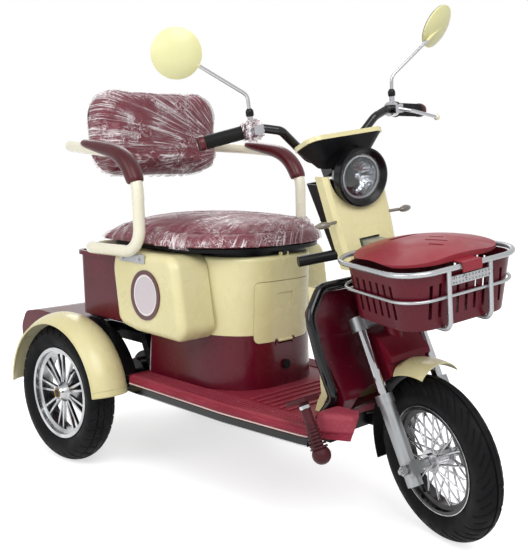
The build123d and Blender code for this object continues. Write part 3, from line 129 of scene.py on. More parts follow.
class Finish(Wiring):
    """A material: one shader, and what varies over its surface."""

    def __init__(self, name, fixed):
        self.material = bpy.data.materials.new(name)
        self.material.use_nodes = True
        super().__init__(self.material.node_tree)
        self.shader = self.tree.nodes["Principled BSDF"]
        for socket, value in fixed.items():
            self.set(socket, value)

    def set(self, socket, value):
        if isinstance(value, Wire):
            self.tree.links.new(value.socket, self.shader.inputs[socket])
        else:
            self.shader.inputs[socket].default_value = value

    def place(self, scale=(1, 1, 1), turn=(0, 0, 0), move=(0, 0, 0)):
        point = self.node("ShaderNodeTexCoord", out=3)
        return self.node("ShaderNodeMapping", {}, {0: point, 1: move, 2: turn, 3: scale})

    def about(self, matrix):
        """Object coordinates taken back into a piece's own frame."""
        back = matrix.inverted()
        return self.place((1, 1, 1), tuple(back.to_euler()), tuple(back.translation))

    def cloud(self, place, scale, detail=2.0, twist=0.0):
        return self.node("ShaderNodeTexNoise", {}, {"Vector": place, "Scale": scale, "Detail": detail,
                                                    "Distortion": twist})

    def cells(self, place, scale, feature="F1"):
        return self.node("ShaderNodeTexVoronoi", {"feature": feature}, {"Vector": place, "Scale": scale})

    def between(self, value, low, high, first=0.0, last=1.0, smooth=True):
        """A value carried from one range to another and held at both ends."""
        kind = "SMOOTHSTEP" if smooth else "LINEAR"
        return self.node("ShaderNodeMapRange", {"interpolation_type": kind},
                         {0: value, 1: low, 2: high, 3: first, 4: last})

    def tint(self, amount, first, second):
        return self.node("ShaderNodeMix", {"data_type": "RGBA"}, {0: amount, 6: first, 7: second}, 2)

    def axis(self, place, letter):
        return self.node("ShaderNodeSeparateXYZ", {}, {0: place}, "XYZ".index(letter))

    def away(self, place, scale=(1, 1, 1), centre=(0, 0, 0)):
        """Distance from a point, with each axis weighted."""
        moved = self.node("ShaderNodeVectorMath", {"operation": "SUBTRACT"}, {0: place, 1: centre})
        sized = self.node("ShaderNodeVectorMath", {"operation": "MULTIPLY"}, {0: moved, 1: scale})
        return self.node("ShaderNodeVectorMath", {"operation": "LENGTH"}, {0: sized}, 1)

    def relief(self, height, depth, strength=1.0):
        self.set("Normal", self.node("ShaderNodeBump", {}, {"Height": height, "Distance": depth,
                                                            "Strength": strength}))


def moulded(name, colour, shade, gloss, coat=0.0, metal=0.0, specular=0.5, grain=(700, 0.00004)):
    """A moulded, painted or plated skin: uneven tone, smudged gloss and a fine surface."""
    skin = Finish(name, {"Metallic": metal, "Coat Weight": coat, "Coat Roughness": 0.08,
                         "Specular IOR Level": specular})
    place = skin.place()
    tone = skin.between(skin.cloud(place, 4.0, 4), 0.3, 0.7)
    speck = skin.cloud(place, 60, 3)
    skin.set("Base Color", skin.tint(tone * 0.75 + speck * 0.25, paint(*colour), paint(*shade)))
    low, high = gloss
    skin.set("Roughness", skin.between(skin.cloud(place, 11, 5, 0.8), 0.35, 0.7, low, high))
    scale, depth = grain
    skin.relief(skin.cloud(place, scale, 2) + skin.cloud(place, scale / 9, 1) * 0.8, depth)
    return skin.material


# Each with its screen colour, its shade, and its lowest and highest roughness
cream = moulded("cream_plastic", (222, 214, 168), (212, 202, 150), (0.24, 0.36), coat=0.15, specular=0.4)
cream_paint = moulded("cream_paint", (232, 228, 208), (222, 216, 190), (0.2, 0.32), coat=0.4)
maroon = moulded("maroon_plastic", (96, 10, 32), (74, 6, 23), (0.2, 0.32), coat=0.08, specular=0.28)
guard_red = moulded("inner_guard_plastic", (122, 22, 42), (98, 14, 32), (0.3, 0.45), specular=0.25)
# Basket lid: its colour is the lid's lit top, painted light from above, lighter than the tub's maroon
lit_lid_red = moulded("basket_plastic", (146, 44, 54), (120, 28, 42), (0.34, 0.5), specular=0.3,
                  grain=(900, 0.00012))
tub_red = moulded("tub_plastic", (98, 12, 32), (74, 7, 22), (0.26, 0.4), specular=0.26)
pad_red = moulded("armrest_pad", (84, 18, 26), (62, 12, 19), (0.24, 0.38), specular=0.35,
                  grain=(1100, 0.00012))
frame_black = moulded("black_paint", (14, 14, 16), (20, 20, 23), (0.26, 0.4), specular=0.16)
gloss_black = moulded("gloss_black_tube", (8, 8, 10), (12, 12, 15), (0.08, 0.16), specular=0.4)
black = moulded("black_plastic", (16, 16, 18), (22, 22, 24), (0.34, 0.48), specular=0.14,
                grain=(1300, 0.0001))
satin_black = moulded("lamp_bowl_plastic", (10, 10, 12), (15, 15, 18), (0.16, 0.28), specular=0.22)
chrome = moulded("chrome", (190, 190, 193), (168, 169, 173), (0.06, 0.16), metal=1.0, grain=(300, 0.00002))
silver = moulded("silver_paint", (176, 178, 180), (158, 160, 163), (0.26, 0.4), metal=0.75,
                 grain=(900, 0.00005))
fork_silver = moulded("fork_casting", (160, 162, 164), (142, 144, 147), (0.3, 0.44), metal=0.8,
                      grain=(1100, 0.00008))
brass = moulded("brass", (196, 158, 84), (170, 130, 66), (0.2, 0.34), metal=1.0)
trim_white = moulded("trim_strip", (226, 196, 190), (206, 170, 168), (0.3, 0.42))
red_lens = moulded("tail_lens", (120, 12, 22), (92, 8, 16), (0.1, 0.18), coat=0.8, grain=(260, 0.0003))
amber = moulded("signal_lens", (126, 116, 104), (96, 88, 80), (0.14, 0.26), coat=0.4, grain=(420, 0.0003))
pedal_rubber = moulded("pedal_rubber", (74, 20, 28), (56, 14, 21), (0.4, 0.58), specular=0.22,
                       grain=(800, 0.0002))
rubber = moulded("black_rubber", (18, 18, 19), (25, 25, 26), (0.48, 0.66), specular=0.14,
                 grain=(1000, 0.00015))
battery_case = moulded("battery_case", (60, 66, 74), (48, 54, 62), (0.4, 0.55), grain=(1500, 0.0001))


def floor_plastic():
    """Faded matt tread board: dusty on its high parts, with a pebbled grain and scuffs along it."""
    skin = Finish("floor_plastic", {"Specular IOR Level": 0.22})
    place = skin.place()
    long_way = skin.place(scale=(3, 22, 22))
    wear = skin.between(skin.cloud(place, 5, 4), 0.35, 0.7)
    scuff = skin.between(skin.cloud(long_way, 9, 5), 0.52, 0.72)
    high = skin.between(skin.axis(place, "Z"), 0.2832, 0.2868)
    tone = skin.tint(wear, paint(120, 26, 44), paint(138, 40, 58))
    tone = skin.tint(high * 0.45, tone, paint(168, 76, 90))
    skin.set("Base Color", skin.tint(scuff * 0.2, tone, paint(180, 104, 112)))
    skin.set("Roughness", 0.42 + wear * 0.16)
    skin.relief(skin.cells(place, 900) + skin.cloud(place, 240, 2) * 0.6, 0.00012)
    return skin.material


def tyre_rubber():
    """Moulded tread rubber with a dusty bloom on its walls."""
    skin = Finish("tyre_rubber", {"Specular IOR Level": 0.1})
    place = skin.place()
    bloom = skin.between(skin.cloud(place, 7, 5, 0.5), 0.4, 0.75)
    skin.set("Base Color", skin.tint(bloom, paint(13, 13, 15), paint(23, 23, 24)))
    skin.set("Roughness", skin.between(skin.cloud(place, 26, 3), 0.3, 0.7, 0.5, 0.68))
    skin.relief(skin.cloud(place, 1400, 2) + skin.cloud(place, 300, 2), 0.00009)
    return skin.material


def cast_metal():
    """Polished cast rim: tool marks round it, and an uneven tone."""
    skin = Finish("cast_rim", {"Metallic": 1.0})
    place = skin.place(scale=(60, 420, 60))
    tone = skin.between(skin.cloud(skin.place(), 20, 4), 0.3, 0.7)
    skin.set("Base Color", skin.tint(tone, paint(196, 197, 198), paint(160, 161, 164)))
    skin.set("Roughness", skin.between(skin.cloud(place, 3, 4), 0.3, 0.7, 0.14, 0.3))
    skin.relief(skin.cloud(place, 6, 3), 0.00006)
    return skin.material


def wire_rim():
    """The front wheel: black rim with a bright lip, plated spokes and hub."""
    skin = Finish("wire_rim", {})
    own = skin.about(STEERED @ shift((0, 0, TYRE_R)))
    round_it = skin.away(own, (1, 0, 1))
    side = skin.away(own, (0, 1, 0))
    lip = skin.between(round_it, 0.1315, 0.1325) * skin.between(side, 0.0236, 0.0242)
    paint_part = skin.between(round_it, 0.111, 0.1125)
    plated = lip + (1 - paint_part)
    grime = skin.between(skin.cloud(skin.place(), 30, 4), 0.4, 0.7)
    plating = skin.tint(grime, paint(200, 200, 203), paint(150, 150, 154))
    skin.set("Base Color", skin.tint(plated, paint(18, 18, 20), plating))
    skin.set("Metallic", plated)
    skin.set("Roughness", 0.16 + grime * 0.14)
    skin.relief(skin.cloud(skin.place(), 800, 2), 0.00005)
    return skin.material


def mirror_shell():
    """Painted mirror heads on plated arms."""
    skin = Finish("mirror_shell", {})
    own = skin.about(STEERED)
    right, left = skin.away(own, centre=RIGHT_MIRROR), skin.away(own, centre=LEFT_MIRROR)
    near = right.maths("MINIMUM", right, left)
    plated = skin.between(near, 0.0602, 0.0606)
    tone = skin.cloud(skin.place(), 9, 4)
    shell = skin.tint(tone, paint(226, 224, 172), paint(212, 208, 152))
    skin.set("Base Color", skin.tint(plated, shell, paint(178, 178, 180)))
    skin.set("Metallic", plated)
    skin.set("Roughness", 0.3 - plated * 0.16 + tone * 0.06)
    skin.relief(skin.cloud(skin.place(), 700, 2), 0.00004)
    return skin.material


def badge_finish():
    """The blank oval badge: a maroon ring round a plain brushed field."""
    skin = Finish("badge", {"Coat Weight": 0.4})
    place = skin.place()
    out = skin.away(place, (1 / 0.049, 0, 1 / 0.056), (0.352, 0, 0.535))
    field = skin.between(out, 1.0, 0.985)
    inner = skin.between(out, 0.9, 0.885)
    brushed = skin.cloud(skin.place(scale=(8, 8, 420)), 4, 4)
    plain = skin.tint(brushed, paint(206, 196, 200), paint(182, 172, 178))
    skin.set("Base Color", skin.tint(inner, skin.tint(field, paint(74, 16, 28), paint(226, 220, 216)), plain))
    skin.set("Metallic", inner * 0.5)
    skin.set("Roughness", 0.24 + brushed * 0.16)
    skin.relief(brushed, 0.00008)
    return skin.material


def vinyl():
    """Padded vinyl: pebble grain, soft creases and a worn sheen."""
    skin = Finish("cushion_vinyl", {"Coat Weight": 0.1, "Coat Roughness": 0.2, "Specular IOR Level": 0.3})
    place = skin.place()
    tone = skin.between(skin.cloud(place, 7, 4), 0.35, 0.7)
    skin.set("Base Color", skin.tint(tone, paint(104, 28, 42), paint(122, 40, 56)))
    skin.set("Roughness", skin.between(skin.cloud(place, 16, 4), 0.35, 0.7, 0.34, 0.5))
    crease = skin.cloud(skin.place(scale=(1, 3, 1)), 24, 5, 1.2)
    skin.relief(skin.cells(place, 620) * 0.12 + crease, 0.0016, 0.55)
    return skin.material


def film(name, own, focus, spread, run):
    """Thin clear wrapping with painted highlights: whiter, more opaque streaks fan out from where it is
    gathered, with fine crinkle glints between; streaks and crinkles are bumped too.
    """
    skin = Finish(name, {"IOR": 1.5, "Specular IOR Level": 0.8})
    place = skin.place()
    flat = skin.about(own)
    rise = skin.axis(flat, "Y") - focus[1]
    turn = rise.maths("ARCTAN2", rise, skin.axis(flat, "X") - focus[0])
    far = skin.away(flat, (1, 1, 0), (*focus, 0))

    def streaks(rate, stretch, width):
        fan = skin.node("ShaderNodeCombineXYZ", {}, {0: turn * rate, 1: far * stretch})
        tone = skin.cloud(fan, 1.0, 3, 0.4)
        return skin.between(tone, 0.5 - width, 0.5) * skin.between(tone, 0.5 + width, 0.5)

    crinkle = skin.cloud(place, 85, 6, 1.6)
    crinkle_glint = skin.between(crinkle, 0.52, 0.56) * skin.between(crinkle, 0.6, 0.56)
    glint_patch = skin.between(skin.cloud(place, 12, 3), 0.44, 0.64)
    fold = skin.node("ShaderNodeAttribute", {"attribute_name": "fold"}, {}, 2)
    lines = streaks(spread, run, 0.035) * 0.55 + streaks(spread * 2.4, run * 1.6, 0.03) * 0.4
    lit = skin.between(skin.cloud(place, 9, 2), 0.36, 0.6)
    # Painted highlight: streaks, fold ridges and crinkles are whitened and made more opaque, as glints of
    # light on the film
    bright = lines * lit + fold ** 1.8 * 0.42 + crinkle_glint * glint_patch * 0.8
    white = skin.between(bright, 0.12, 0.6)
    skin.set("Alpha", skin.between(0.13 + bright, 0.0, 1.0, 0.0, 0.9, smooth=False))
    skin.set("Base Color", skin.tint(white, paint(176, 122, 132), paint(252, 244, 246)))
    skin.set("Roughness", skin.between(skin.cloud(place, 40, 3), 0.3, 0.7, 0.06, 0.2))
    skin.relief(crinkle + lines * 0.5, 0.0032)
    return skin.material


def smeared(name, fixed, smear, limits, clean, dull, gloss):
    """Glass or bright metal with smears that change its colour and dull it."""
    skin = Finish(name, fixed)
    amount = skin.between(skin.cloud(skin.place(), *smear), *limits)
    skin.set("Base Color", skin.tint(amount, paint(*clean), paint(*dull)))
    least, more = gloss
    skin.set("Roughness", least + amount * more)
    return skin


# Clear lens with faint upright flutes
lens = smeared("lamp_lens", {"Transmission Weight": 1.0, "IOR": 1.46}, (30, 4), (0.4, 0.8),
               (250, 252, 253), (226, 230, 232), (0.03, 0.05))
flutes = lens.node("ShaderNodeTexWave", {"bands_direction": "Y"},
                   {"Vector": lens.about(STEERED), "Scale": 40.0})
lens.relief(flutes, 0.0002, 0.25)

# Reflector, stippled behind the lens
bowl = smeared("lamp_reflector", {"Metallic": 1.0}, (60, 4), (0.3, 0.7),
               (212, 214, 218), (150, 152, 158), (0.07, 0.1))
bowl.relief(bowl.cells(bowl.place(), 190, "SMOOTH_F1"), 0.0012)

# Mirror and screen, hardly uneven
pane = smeared("mirror_glass", {"Metallic": 1.0}, (24, 5, 1.0), (0.4, 0.75),
               (226, 230, 232), (206, 212, 216), (0.02, 0.05))
pane.relief(pane.cloud(pane.place(), 12, 2), 0.00005)
screen = smeared("screen_glass", {"Coat Weight": 0.9, "Coat Roughness": 0.03}, (34, 4, 0.8), (0.35, 0.7),
                 (12, 15, 20), (24, 30, 38), (0.08, 0.1))
screen.relief(screen.cloud(screen.place(), 40, 1), 0.00004)

floor_red = floor_plastic()
tread_rubber = tyre_rubber()
cast_rim = cast_metal()
cushion_vinyl = vinyl()
bright_bowl, mirror_pane, screen_pane = bowl.material, pane.material, screen.material

DRESS = [
    (cream, "inner_panel seat_box_upper glovebox_door side_pods rear_fenders front_fender dash_top shroud"),
    (cream_paint, "seat_frame"),
    (mirror_shell(), "mirrors"),
    (maroon, "leg_shield seat_box_lower rear_bin tail_cover"),
    (guard_red, "inner_guard"),
    (lit_lid_red, "basket_lid"),
    (tub_red, "basket"),
    (pad_red, "armrests"),
    (floor_red, "floorboard"),
    (frame_black, "main_frame rear_axle rear_shocks wheel_arches"),
    (gloss_black, "shield_tube handlebar"),
    (black, "charge_port seat_pan backrest_board column_cover column_lever dash"),
    (satin_black, "headlight"),
    (chrome, "rear_rail bar_controls fork_stanchions"),
    (silver, "basket_cradle seat_brackets basket_bracket front_axle"),
    (fork_silver, "fork_lowers fork_crown"),
    (red_lens, "tail_lamps"),
    (amber, "turn_signals"),
    (pedal_rubber, "brake_pedal"),
    (rubber, "front_mudflap grips"),
    (battery_case, "battery_pack"),
    (cast_rim, "rear_rim_right rear_rim_left"),
    (wire_rim(), "front_rim"),
    (badge_finish(), "badges"),
    (lens.material, "headlight_lens"),
    (tread_rubber, "front_tyre rear_tyre_right rear_tyre_left"),
    (cushion_vinyl, "seat_cushion backrest_cushion"),
]
for material, names in DRESS:
    for name in names.split():
        for slot in NODES[name].material_slots:
            slot.material = material


# Meshes


def mesh_of(points, faces):
    mesh = bpy.data.meshes.new("mesh")
    mesh.from_pydata([tuple(p) for p in points], [], faces)
    return mesh


def put(name, data):
    """A new object in the scene, of a mesh, lamp or camera."""
    made = bpy.data.objects.new(name, data)
    scene.collection.objects.link(made)
    return made


def applied(holder):
    """What an object's modifiers make of it, as a plain mesh."""
    return bpy.data.meshes.new_from_object(holder.evaluated_get(bpy.context.evaluated_depsgraph_get()))


def smooth(mesh):
    mesh.polygons.foreach_set("use_smooth", [True] * len(mesh.polygons))


def tidy(mesh, crease):
    """Merges doubles, turns the faces outward and keeps only real corners sharp."""
    form = bmesh.new()
    form.from_mesh(mesh)
    bmesh.ops.remove_doubles(form, verts=form.verts, dist=1e-6)
    bmesh.ops.recalc_face_normals(form, faces=form.faces)
    form.to_mesh(mesh)
    form.free()
    smooth(mesh)
    mesh.set_sharp_from_angle(angle=radians(crease))
    return mesh


def finished(name, mesh, material, body, stands_for=()):
    """Adds a mesh as a piece that rides on a body."""
    mesh.name = name
    mesh.materials.clear()
    mesh.materials.append(material)
    made = put(name, mesh)
    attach(made, body)
    if stands_for:
        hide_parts(*stands_for)
    return made


def piece(name, parts, material, body, steered=False, crease=38, stands_for=()):
    """One piece from several (points, faces) parts."""
    points, faces = [], []
    for some, loops in parts:
        start = len(points)
        points += [Vector(p) for p in some]
        faces += [[start + i for i in loop] for loop in loops]
    if steered:
        points = [STEERED @ p for p in points]
    return finished(name, tidy(mesh_of(points, faces), crease), material, body, stands_for)


def skin_rings(rings, round_it=True, capped=True, closed=False):
    """Quads between rings of equal length, with flat ends."""
    count = len(rings[0])
    points = [p for ring in rings for p in ring]
    faces = []
    for row in range(len(rings) if closed else len(rings) - 1):
        after = (row + 1) % len(rings)
        for i in range(count if round_it else count - 1):
            j = (i + 1) % count
            faces.append([row * count + i, row * count + j, after * count + j, after * count + i])
    if capped and not closed:
        faces.append(list(range(count))[::-1])
        faces.append([(len(rings) - 1) * count + i for i in range(count)])
    return points, faces


def turned(rows, place, steps=48):
    """Turns (radius, height) rows about a frame's local Z axis."""
    rings = []
    for radius, height in rows:
        rings.append([place @ Vector((radius * cos(tau * i / steps), radius * sin(tau * i / steps), height))
                      for i in range(steps)])
    return skin_rings(rings, capped=False)


def ring_of(centre, across, up, half_width, half_height, sides=20, power=2.0):
    """A rounded section about a point."""
    loop = []
    for i in range(sides):
        turn = tau * i / sides
        c, s = cos(turn), sin(turn)
        w = abs(c) ** (2 / power) * (1 if c >= 0 else -1)
        h = abs(s) ** (2 / power) * (1 if s >= 0 else -1)
        loop.append(centre + across * (half_width * w) + up * (half_height * h))
    return loop


def wire(points, radius, closed=False, steps=8):
    """A round wire along a smooth line through control points."""
    curve = bpy.data.curves.new("wire", "CURVE")
    curve.dimensions = "3D"
    curve.resolution_u = steps
    curve.bevel_depth = radius
    curve.bevel_resolution = 2
    curve.use_fill_caps = not closed
    spline = curve.splines.new("NURBS")
    spline.points.add(len(points) - 1)
    for point, at in zip(spline.points, points):
        point.co = (*at, 1)
    spline.use_cyclic_u = closed
    spline.order_u = 3
    spline.use_endpoint_u = not closed
    holder = bpy.data.objects.new("wire", curve)
    mesh = bpy.data.meshes.new_from_object(holder)
    part = ([v.co.copy() for v in mesh.vertices], [list(p.vertices) for p in mesh.polygons])
    bpy.data.objects.remove(holder)
    bpy.data.curves.remove(curve)
    bpy.data.meshes.remove(mesh)
    return part


def block(place, size, bevel):
    """A block with rounded edges, centred in its frame."""
    form = bmesh.new()
    bmesh.ops.create_cube(form, size=1)
    for v in form.verts:
        v.co = Vector((v.co.x * size[0], v.co.y * size[1], v.co.z * size[2]))
    bmesh.ops.bevel(form, geom=form.edges[:], offset=bevel, segments=3, profile=0.5, affect="EDGES")
    part = ([place @ v.co for v in form.verts], [[v.index for v in f.verts] for f in form.faces])
    form.free()
    return part


def facing(point, normal):
    """A frame at a point whose Z axis is a normal."""
    return shift(point) @ Vector(normal).to_track_quat("Z", "Y").to_matrix().to_4x4()


def arc_rows(first, middle, last, count):
    """Points on the circle through three points, from the first to the last."""
    (ax, ay), (bx, by), (cx, cy) = first, middle, last
    d = 2 * (ax * (by - cy) + bx * (cy - ay) + cx * (ay - by))
    ux = ((ax**2 + ay**2) * (by - cy) + (bx**2 + by**2) * (cy - ay) + (cx**2 + cy**2) * (ay - by)) / d
    uy = ((ax**2 + ay**2) * (cx - bx) + (bx**2 + by**2) * (ax - cx) + (cx**2 + cy**2) * (bx - ax)) / d
    start, half, end = (atan2(y - uy, x - ux) for x, y in (first, middle, last))
    span = (end - start) % tau
    if (half - start) % tau > span:
        span -= tau
    radius = hypot(ax - ux, ay - uy)
    turns = [start + span * i / count for i in range(count + 1)]
    return [(ux + radius * cos(t), uy + radius * sin(t)) for t in turns]


# Tyres

LIP_R, BULGE_R, SHOULDER_R, FOOT_R = 0.135, 0.168, 0.189, 0.1273


def trench(distance, half_width):
    """A groove's depth share at a distance from its line."""
    x = np.clip((1.3 * half_width - np.abs(distance)) / (0.7 * half_width), 0, 1)
    return x * x * (3 - 2 * x)


def step_up(value, low, high):
    x = np.clip((value - low) / (high - low), 0, 1)
    return x * x * (3 - 2 * x)


def slanted(across, around, pitch, start, slope, bend, low, high, half_width):
    """Slanted grooves between two distances from the crown line."""
    out = np.abs(across)
    line = slope * out + bend * out**2
    off = (around - start - line + pitch / 2) % pitch - pitch / 2
    reach = TYRE_R / np.sqrt(1 + (TYRE_R * (slope + 2 * bend * out)) ** 2)
    ends = step_up(out, low, low + 0.003) * (1 - step_up(out, high - 0.004, high))
    return trench(off * reach, half_width) * ends


def front_tread(across, around):
    pitch = tau / 22
    cut = trench(np.abs(across) - 0.0062, 0.0018)
    cut = np.maximum(cut, slanted(across, around, pitch, 0, 9, -45, 0.009, 0.056, 0.0026))
    cut = np.maximum(cut, slanted(across, around, pitch, pitch * 0.5, 9, -45, 0.018, 0.044, 0.0021))
    cut = np.maximum(cut, 0.7 * slanted(across, around, pitch, pitch * 0.3, 12, 0, -0.01, 0.0045, 0.0012))
    return cut


def rear_tread(across, around):
    pitch = tau / 34
    wave = 0.0022 * np.sin(around * 34)
    cut = trench(np.abs(across + wave) - 0.011, 0.0018)
    cut = np.maximum(cut, trench(np.abs(across) - 0.029, 0.0015))
    cut = np.maximum(cut, slanted(across, around, pitch, 0, 3.2, 0, 0.012, 0.054, 0.0022))
    cut = np.maximum(cut, 0.6 * slanted(across, around, pitch, pitch * 0.5, -2.5, 0, -0.01, 0.026, 0.0009))
    return cut


def make_tyre(name, node, body, place, width, rim_half, tread, turns):
    """A tyre turned from its section, with the grooves cut inward from it."""
    half, bead = width / 2, rim_half - 0.0029
    shoulder = half - 0.008
    wall = arc_rows((bead, LIP_R), (half, BULGE_R), (shoulder, SHOULDER_R), 22)
    crown = arc_rows((shoulder, SHOULDER_R), (0, TYRE_R), (-shoulder, SHOULDER_R), 46)
    section = wall + crown[1:] + [(-y, r) for y, r in reversed(wall)][1:]
    y, r = np.array(section).T
    dy, dr = np.gradient(y), np.gradient(r)
    size = np.hypot(dy, dr)
    along = np.concatenate([[0], np.cumsum(np.hypot(np.diff(y), np.diff(r)))])
    across = along - along[-1] / 2
    around = np.arange(turns) * tau / turns
    cut = tread(across[:, None], around[None, :]) * 0.003
    cut *= step_up(r, 0.160, 0.172)[:, None]
    for at in (0.1395, 0.1435, 0.1555):
        cut += (trench(r - at, 0.0009) * 0.0007)[:, None]
    serration = 0.5 + 0.5 * np.sin(around[None, :] * 180)
    cut += (step_up(r, 0.1465, 0.148) * (1 - step_up(r, 0.1515, 0.153)))[:, None] * serration * 0.0005
    yy = y[:, None] - np.abs(dr / size)[:, None] * np.sign(y)[:, None] * cut
    rr = r[:, None] - np.abs(dy / size)[:, None] * cut
    yy = np.vstack([yy, np.full((1, turns), -bead), np.full((1, turns), bead)])
    rr = np.vstack([rr, np.full((1, turns), FOOT_R), np.full((1, turns), FOOT_R)])
    x, z = rr * np.sin(around), rr * np.cos(around)
    grid = np.stack([x, yy, z], axis=2).reshape(-1, 3)
    rows = len(yy)
    i, j = np.meshgrid(np.arange(rows), np.arange(turns), indexing="ij")
    i2, j2 = (i + 1) % rows, (j + 1) % turns
    quads = np.stack([i * turns + j, i2 * turns + j, i2 * turns + j2, i * turns + j2], axis=2).reshape(-1, 4)
    mesh = mesh_of([place @ Vector(p) for p in grid], quads.tolist())
    return finished(name, tidy(mesh, 60), tread_rubber, body, [node])


FRONT_WHEEL = STEERED @ shift((0, 0, TYRE_R))
RIGHT_WHEEL = shift((0, -TRACK_HALF, TYRE_R))
LEFT_WHEEL = shift((0, TRACK_HALF, TYRE_R)) @ Matrix.Rotation(pi, 4, "Z")
REAR_WHEELS = (("right", RIGHT_WHEEL), ("left", LEFT_WHEEL))
make_tyre("front_tread_tyre", "front_tyre", "front_wheel", FRONT_WHEEL, 0.064, 0.026, front_tread, 704)
for side, place in REAR_WHEELS:
    make_tyre(f"rear_{side}_tread_tyre", f"rear_tyre_{side}", f"rear_wheel_{side}", place, 0.082, 0.031,
              rear_tread, 680)


# Repeated small pieces


class Pattern(Wiring):
    """A Geometry Nodes tree with named sizes, run once on a base mesh and kept as a plain mesh."""

    def __init__(self, name, sizes):
        super().__init__(bpy.data.node_groups.new(name, "GeometryNodeTree"))
        face = self.tree.interface
        face.new_socket("Geometry", in_out="INPUT", socket_type="NodeSocketGeometry")
        face.new_socket("Geometry", in_out="OUTPUT", socket_type="NodeSocketGeometry")
        self.sizes = sizes
        self.sockets = {size: face.new_socket(size, in_out="INPUT", socket_type="NodeSocketFloat").identifier
                        for size in sizes}
        self.entry = self.tree.nodes.new("NodeGroupInput")
        self.base = Wire(self, self.entry.outputs["Geometry"])

    def size(self, name):
        return Wire(self, self.entry.outputs[name])

    def grow(self, result, name, points, normals, material, body, slot=None):
        """Runs the tree on points that hold the way they face, and adds what it makes."""
        solid = self.node("GeometryNodeRealizeInstances", {}, {0: result})
        solid = self.node("GeometryNodeSetMaterial", {}, {0: solid, 2: material})
        end = self.tree.nodes.new("NodeGroupOutput")
        self.tree.links.new(solid.socket, end.inputs[0])
        base = mesh_of(points, [])
        way = base.attributes.new("facing", "FLOAT_VECTOR", "POINT")
        way.data.foreach_set("vector", [c for n in normals for c in n])
        holder = put(name + "_points", base)
        grown = holder.modifiers.new("pattern", "NODES")
        grown.node_group = self.tree
        for size, value in self.sizes.items():
            grown[self.sockets[size]] = value
        mesh = applied(holder)
        bpy.data.objects.remove(holder)
        bpy.data.meshes.remove(base)
        mesh.set_sharp_from_angle(angle=radians(40))
        return finished(name, mesh, material, body, ())

    def turned_to(self, shape):
        """One copy of a shape on each point, its Z axis along the way the point faces."""
        way = self.node("GeometryNodeInputNamedAttribute", {"data_type": "FLOAT_VECTOR"}, {0: "facing"})
        turn = self.node("FunctionNodeAlignRotationToVector", {"axis": "Z"}, {2: way})
        return self.node("GeometryNodeInstanceOnPoints", {}, {0: self.base, 2: shape, 5: turn})

    def joined(self, *shapes):
        join = self.tree.nodes.new("GeometryNodeJoinGeometry")
        for shape in shapes:
            self.tree.links.new(shape.socket, join.inputs[0])
        return Wire(self, join.outputs[0])

    def drum(self, sides, radius, depth, lift=0.0):
        """A short cylinder that stands on its point."""
        shape = self.node("GeometryNodeMeshCylinder", {},
                          {"Vertices": sides, "Radius": radius, "Depth": depth})
        height = self.node("ShaderNodeCombineXYZ", {}, {2: depth * 0.5 + lift})
        return self.node("GeometryNodeTransform", {}, {0: shape, "Translation": height})


def bolts(name, spots, radius, height, material, body, steered=False, sides=6, washer=True):
    """Bolt heads, hexagonal or round, on washers."""
    tree = Pattern(name, {"Head radius": radius, "Head height": height, "Washer share": 1.45})
    head = tree.drum(sides, tree.size("Head radius"), tree.size("Head height"))
    shapes = [head]
    if washer:
        shapes.append(tree.drum(18, tree.size("Head radius") * tree.size("Washer share"),
                                tree.size("Head height") * 0.28))
    cap = tree.drum(sides, tree.size("Head radius") * 0.55, tree.size("Head height") * 0.18,
                    tree.size("Head height"))
    result = tree.turned_to(tree.joined(*shapes, cap))
    way = STEERED.to_3x3() if steered else Matrix.Identity(3)
    move = STEERED if steered else Matrix.Identity(4)
    points = [move @ Vector(p) for p, _ in spots]
    normals = [way @ Vector(n) for _, n in spots]
    return tree.grow(result, name, points, normals, material, body)


def both(spots):
    """Spots on the right and their mirror images on the left."""
    return spots + [((x, -y, z), (a, -b, c)) for (x, y, z), (a, b, c) in spots]


bolts("pod_bolts", both([((x, -0.3043, 0.628), (0, -1, 0)) for x in (0.258, 0.328)]), 0.0052, 0.0042,
      chrome, "chassis")
bolts("floor_screws", both([((x, -0.218, 0.284), (0, 0, 1)) for x in (0.62, 0.74, 0.86)]), 0.0042, 0.0016,
      silver, "chassis", sides=14, washer=False)
bolts("bin_screws", [((-0.052, y, 0.47), (-1, 0, 0)) for y in (-0.17, 0, 0.17)], 0.005, 0.003, silver,
      "chassis", sides=14)
bolts("plate_screws", [((-0.356, y, 0.3), (-1, 0, 0)) for y in (-0.075, 0.075)], 0.0052, 0.004, silver,
      "chassis")
bolts("axle_nuts", [((0, s * 0.1153, TYRE_R), (0, s, 0)) for s in (-1, 1)], 0.0062, 0.003, silver,
      "steering", steered=True, washer=False)


def hub_spots(place, radius, height, count):
    """Spots round a hub's outer face."""
    spots = []
    for i in range(count):
        turn = tau * i / count
        spots.append((place @ Vector((radius * sin(turn), height, radius * cos(turn))),
                      place.to_3x3() @ Vector((0, -1, 0))))
    return spots


for side, place in REAR_WHEELS:
    bolts(f"hub_nuts_{side}", hub_spots(place, 0.0205, -0.0262, 5), 0.0034, 0.004, chrome,
          f"rear_wheel_{side}", washer=False)
    across = place @ Matrix.Rotation(pi / 2, 4, "X")
    ring = [(0.0118, 0.0335), (0.0118, 0.0362), (0.0136, 0.0366), (0.0142, 0.035), (0.0142, 0.0335)]
    cap = [(0.0119, 0.0335), (0.0119, 0.0348), (0.009, 0.0356), (0.004, 0.036), (0.0, 0.0361)]
    piece(f"hub_ring_{side}", [turned(ring, across)], brass, f"rear_wheel_{side}")
    piece(f"hub_cap_{side}", [turned(cap, across)], satin_black, f"rear_wheel_{side}")

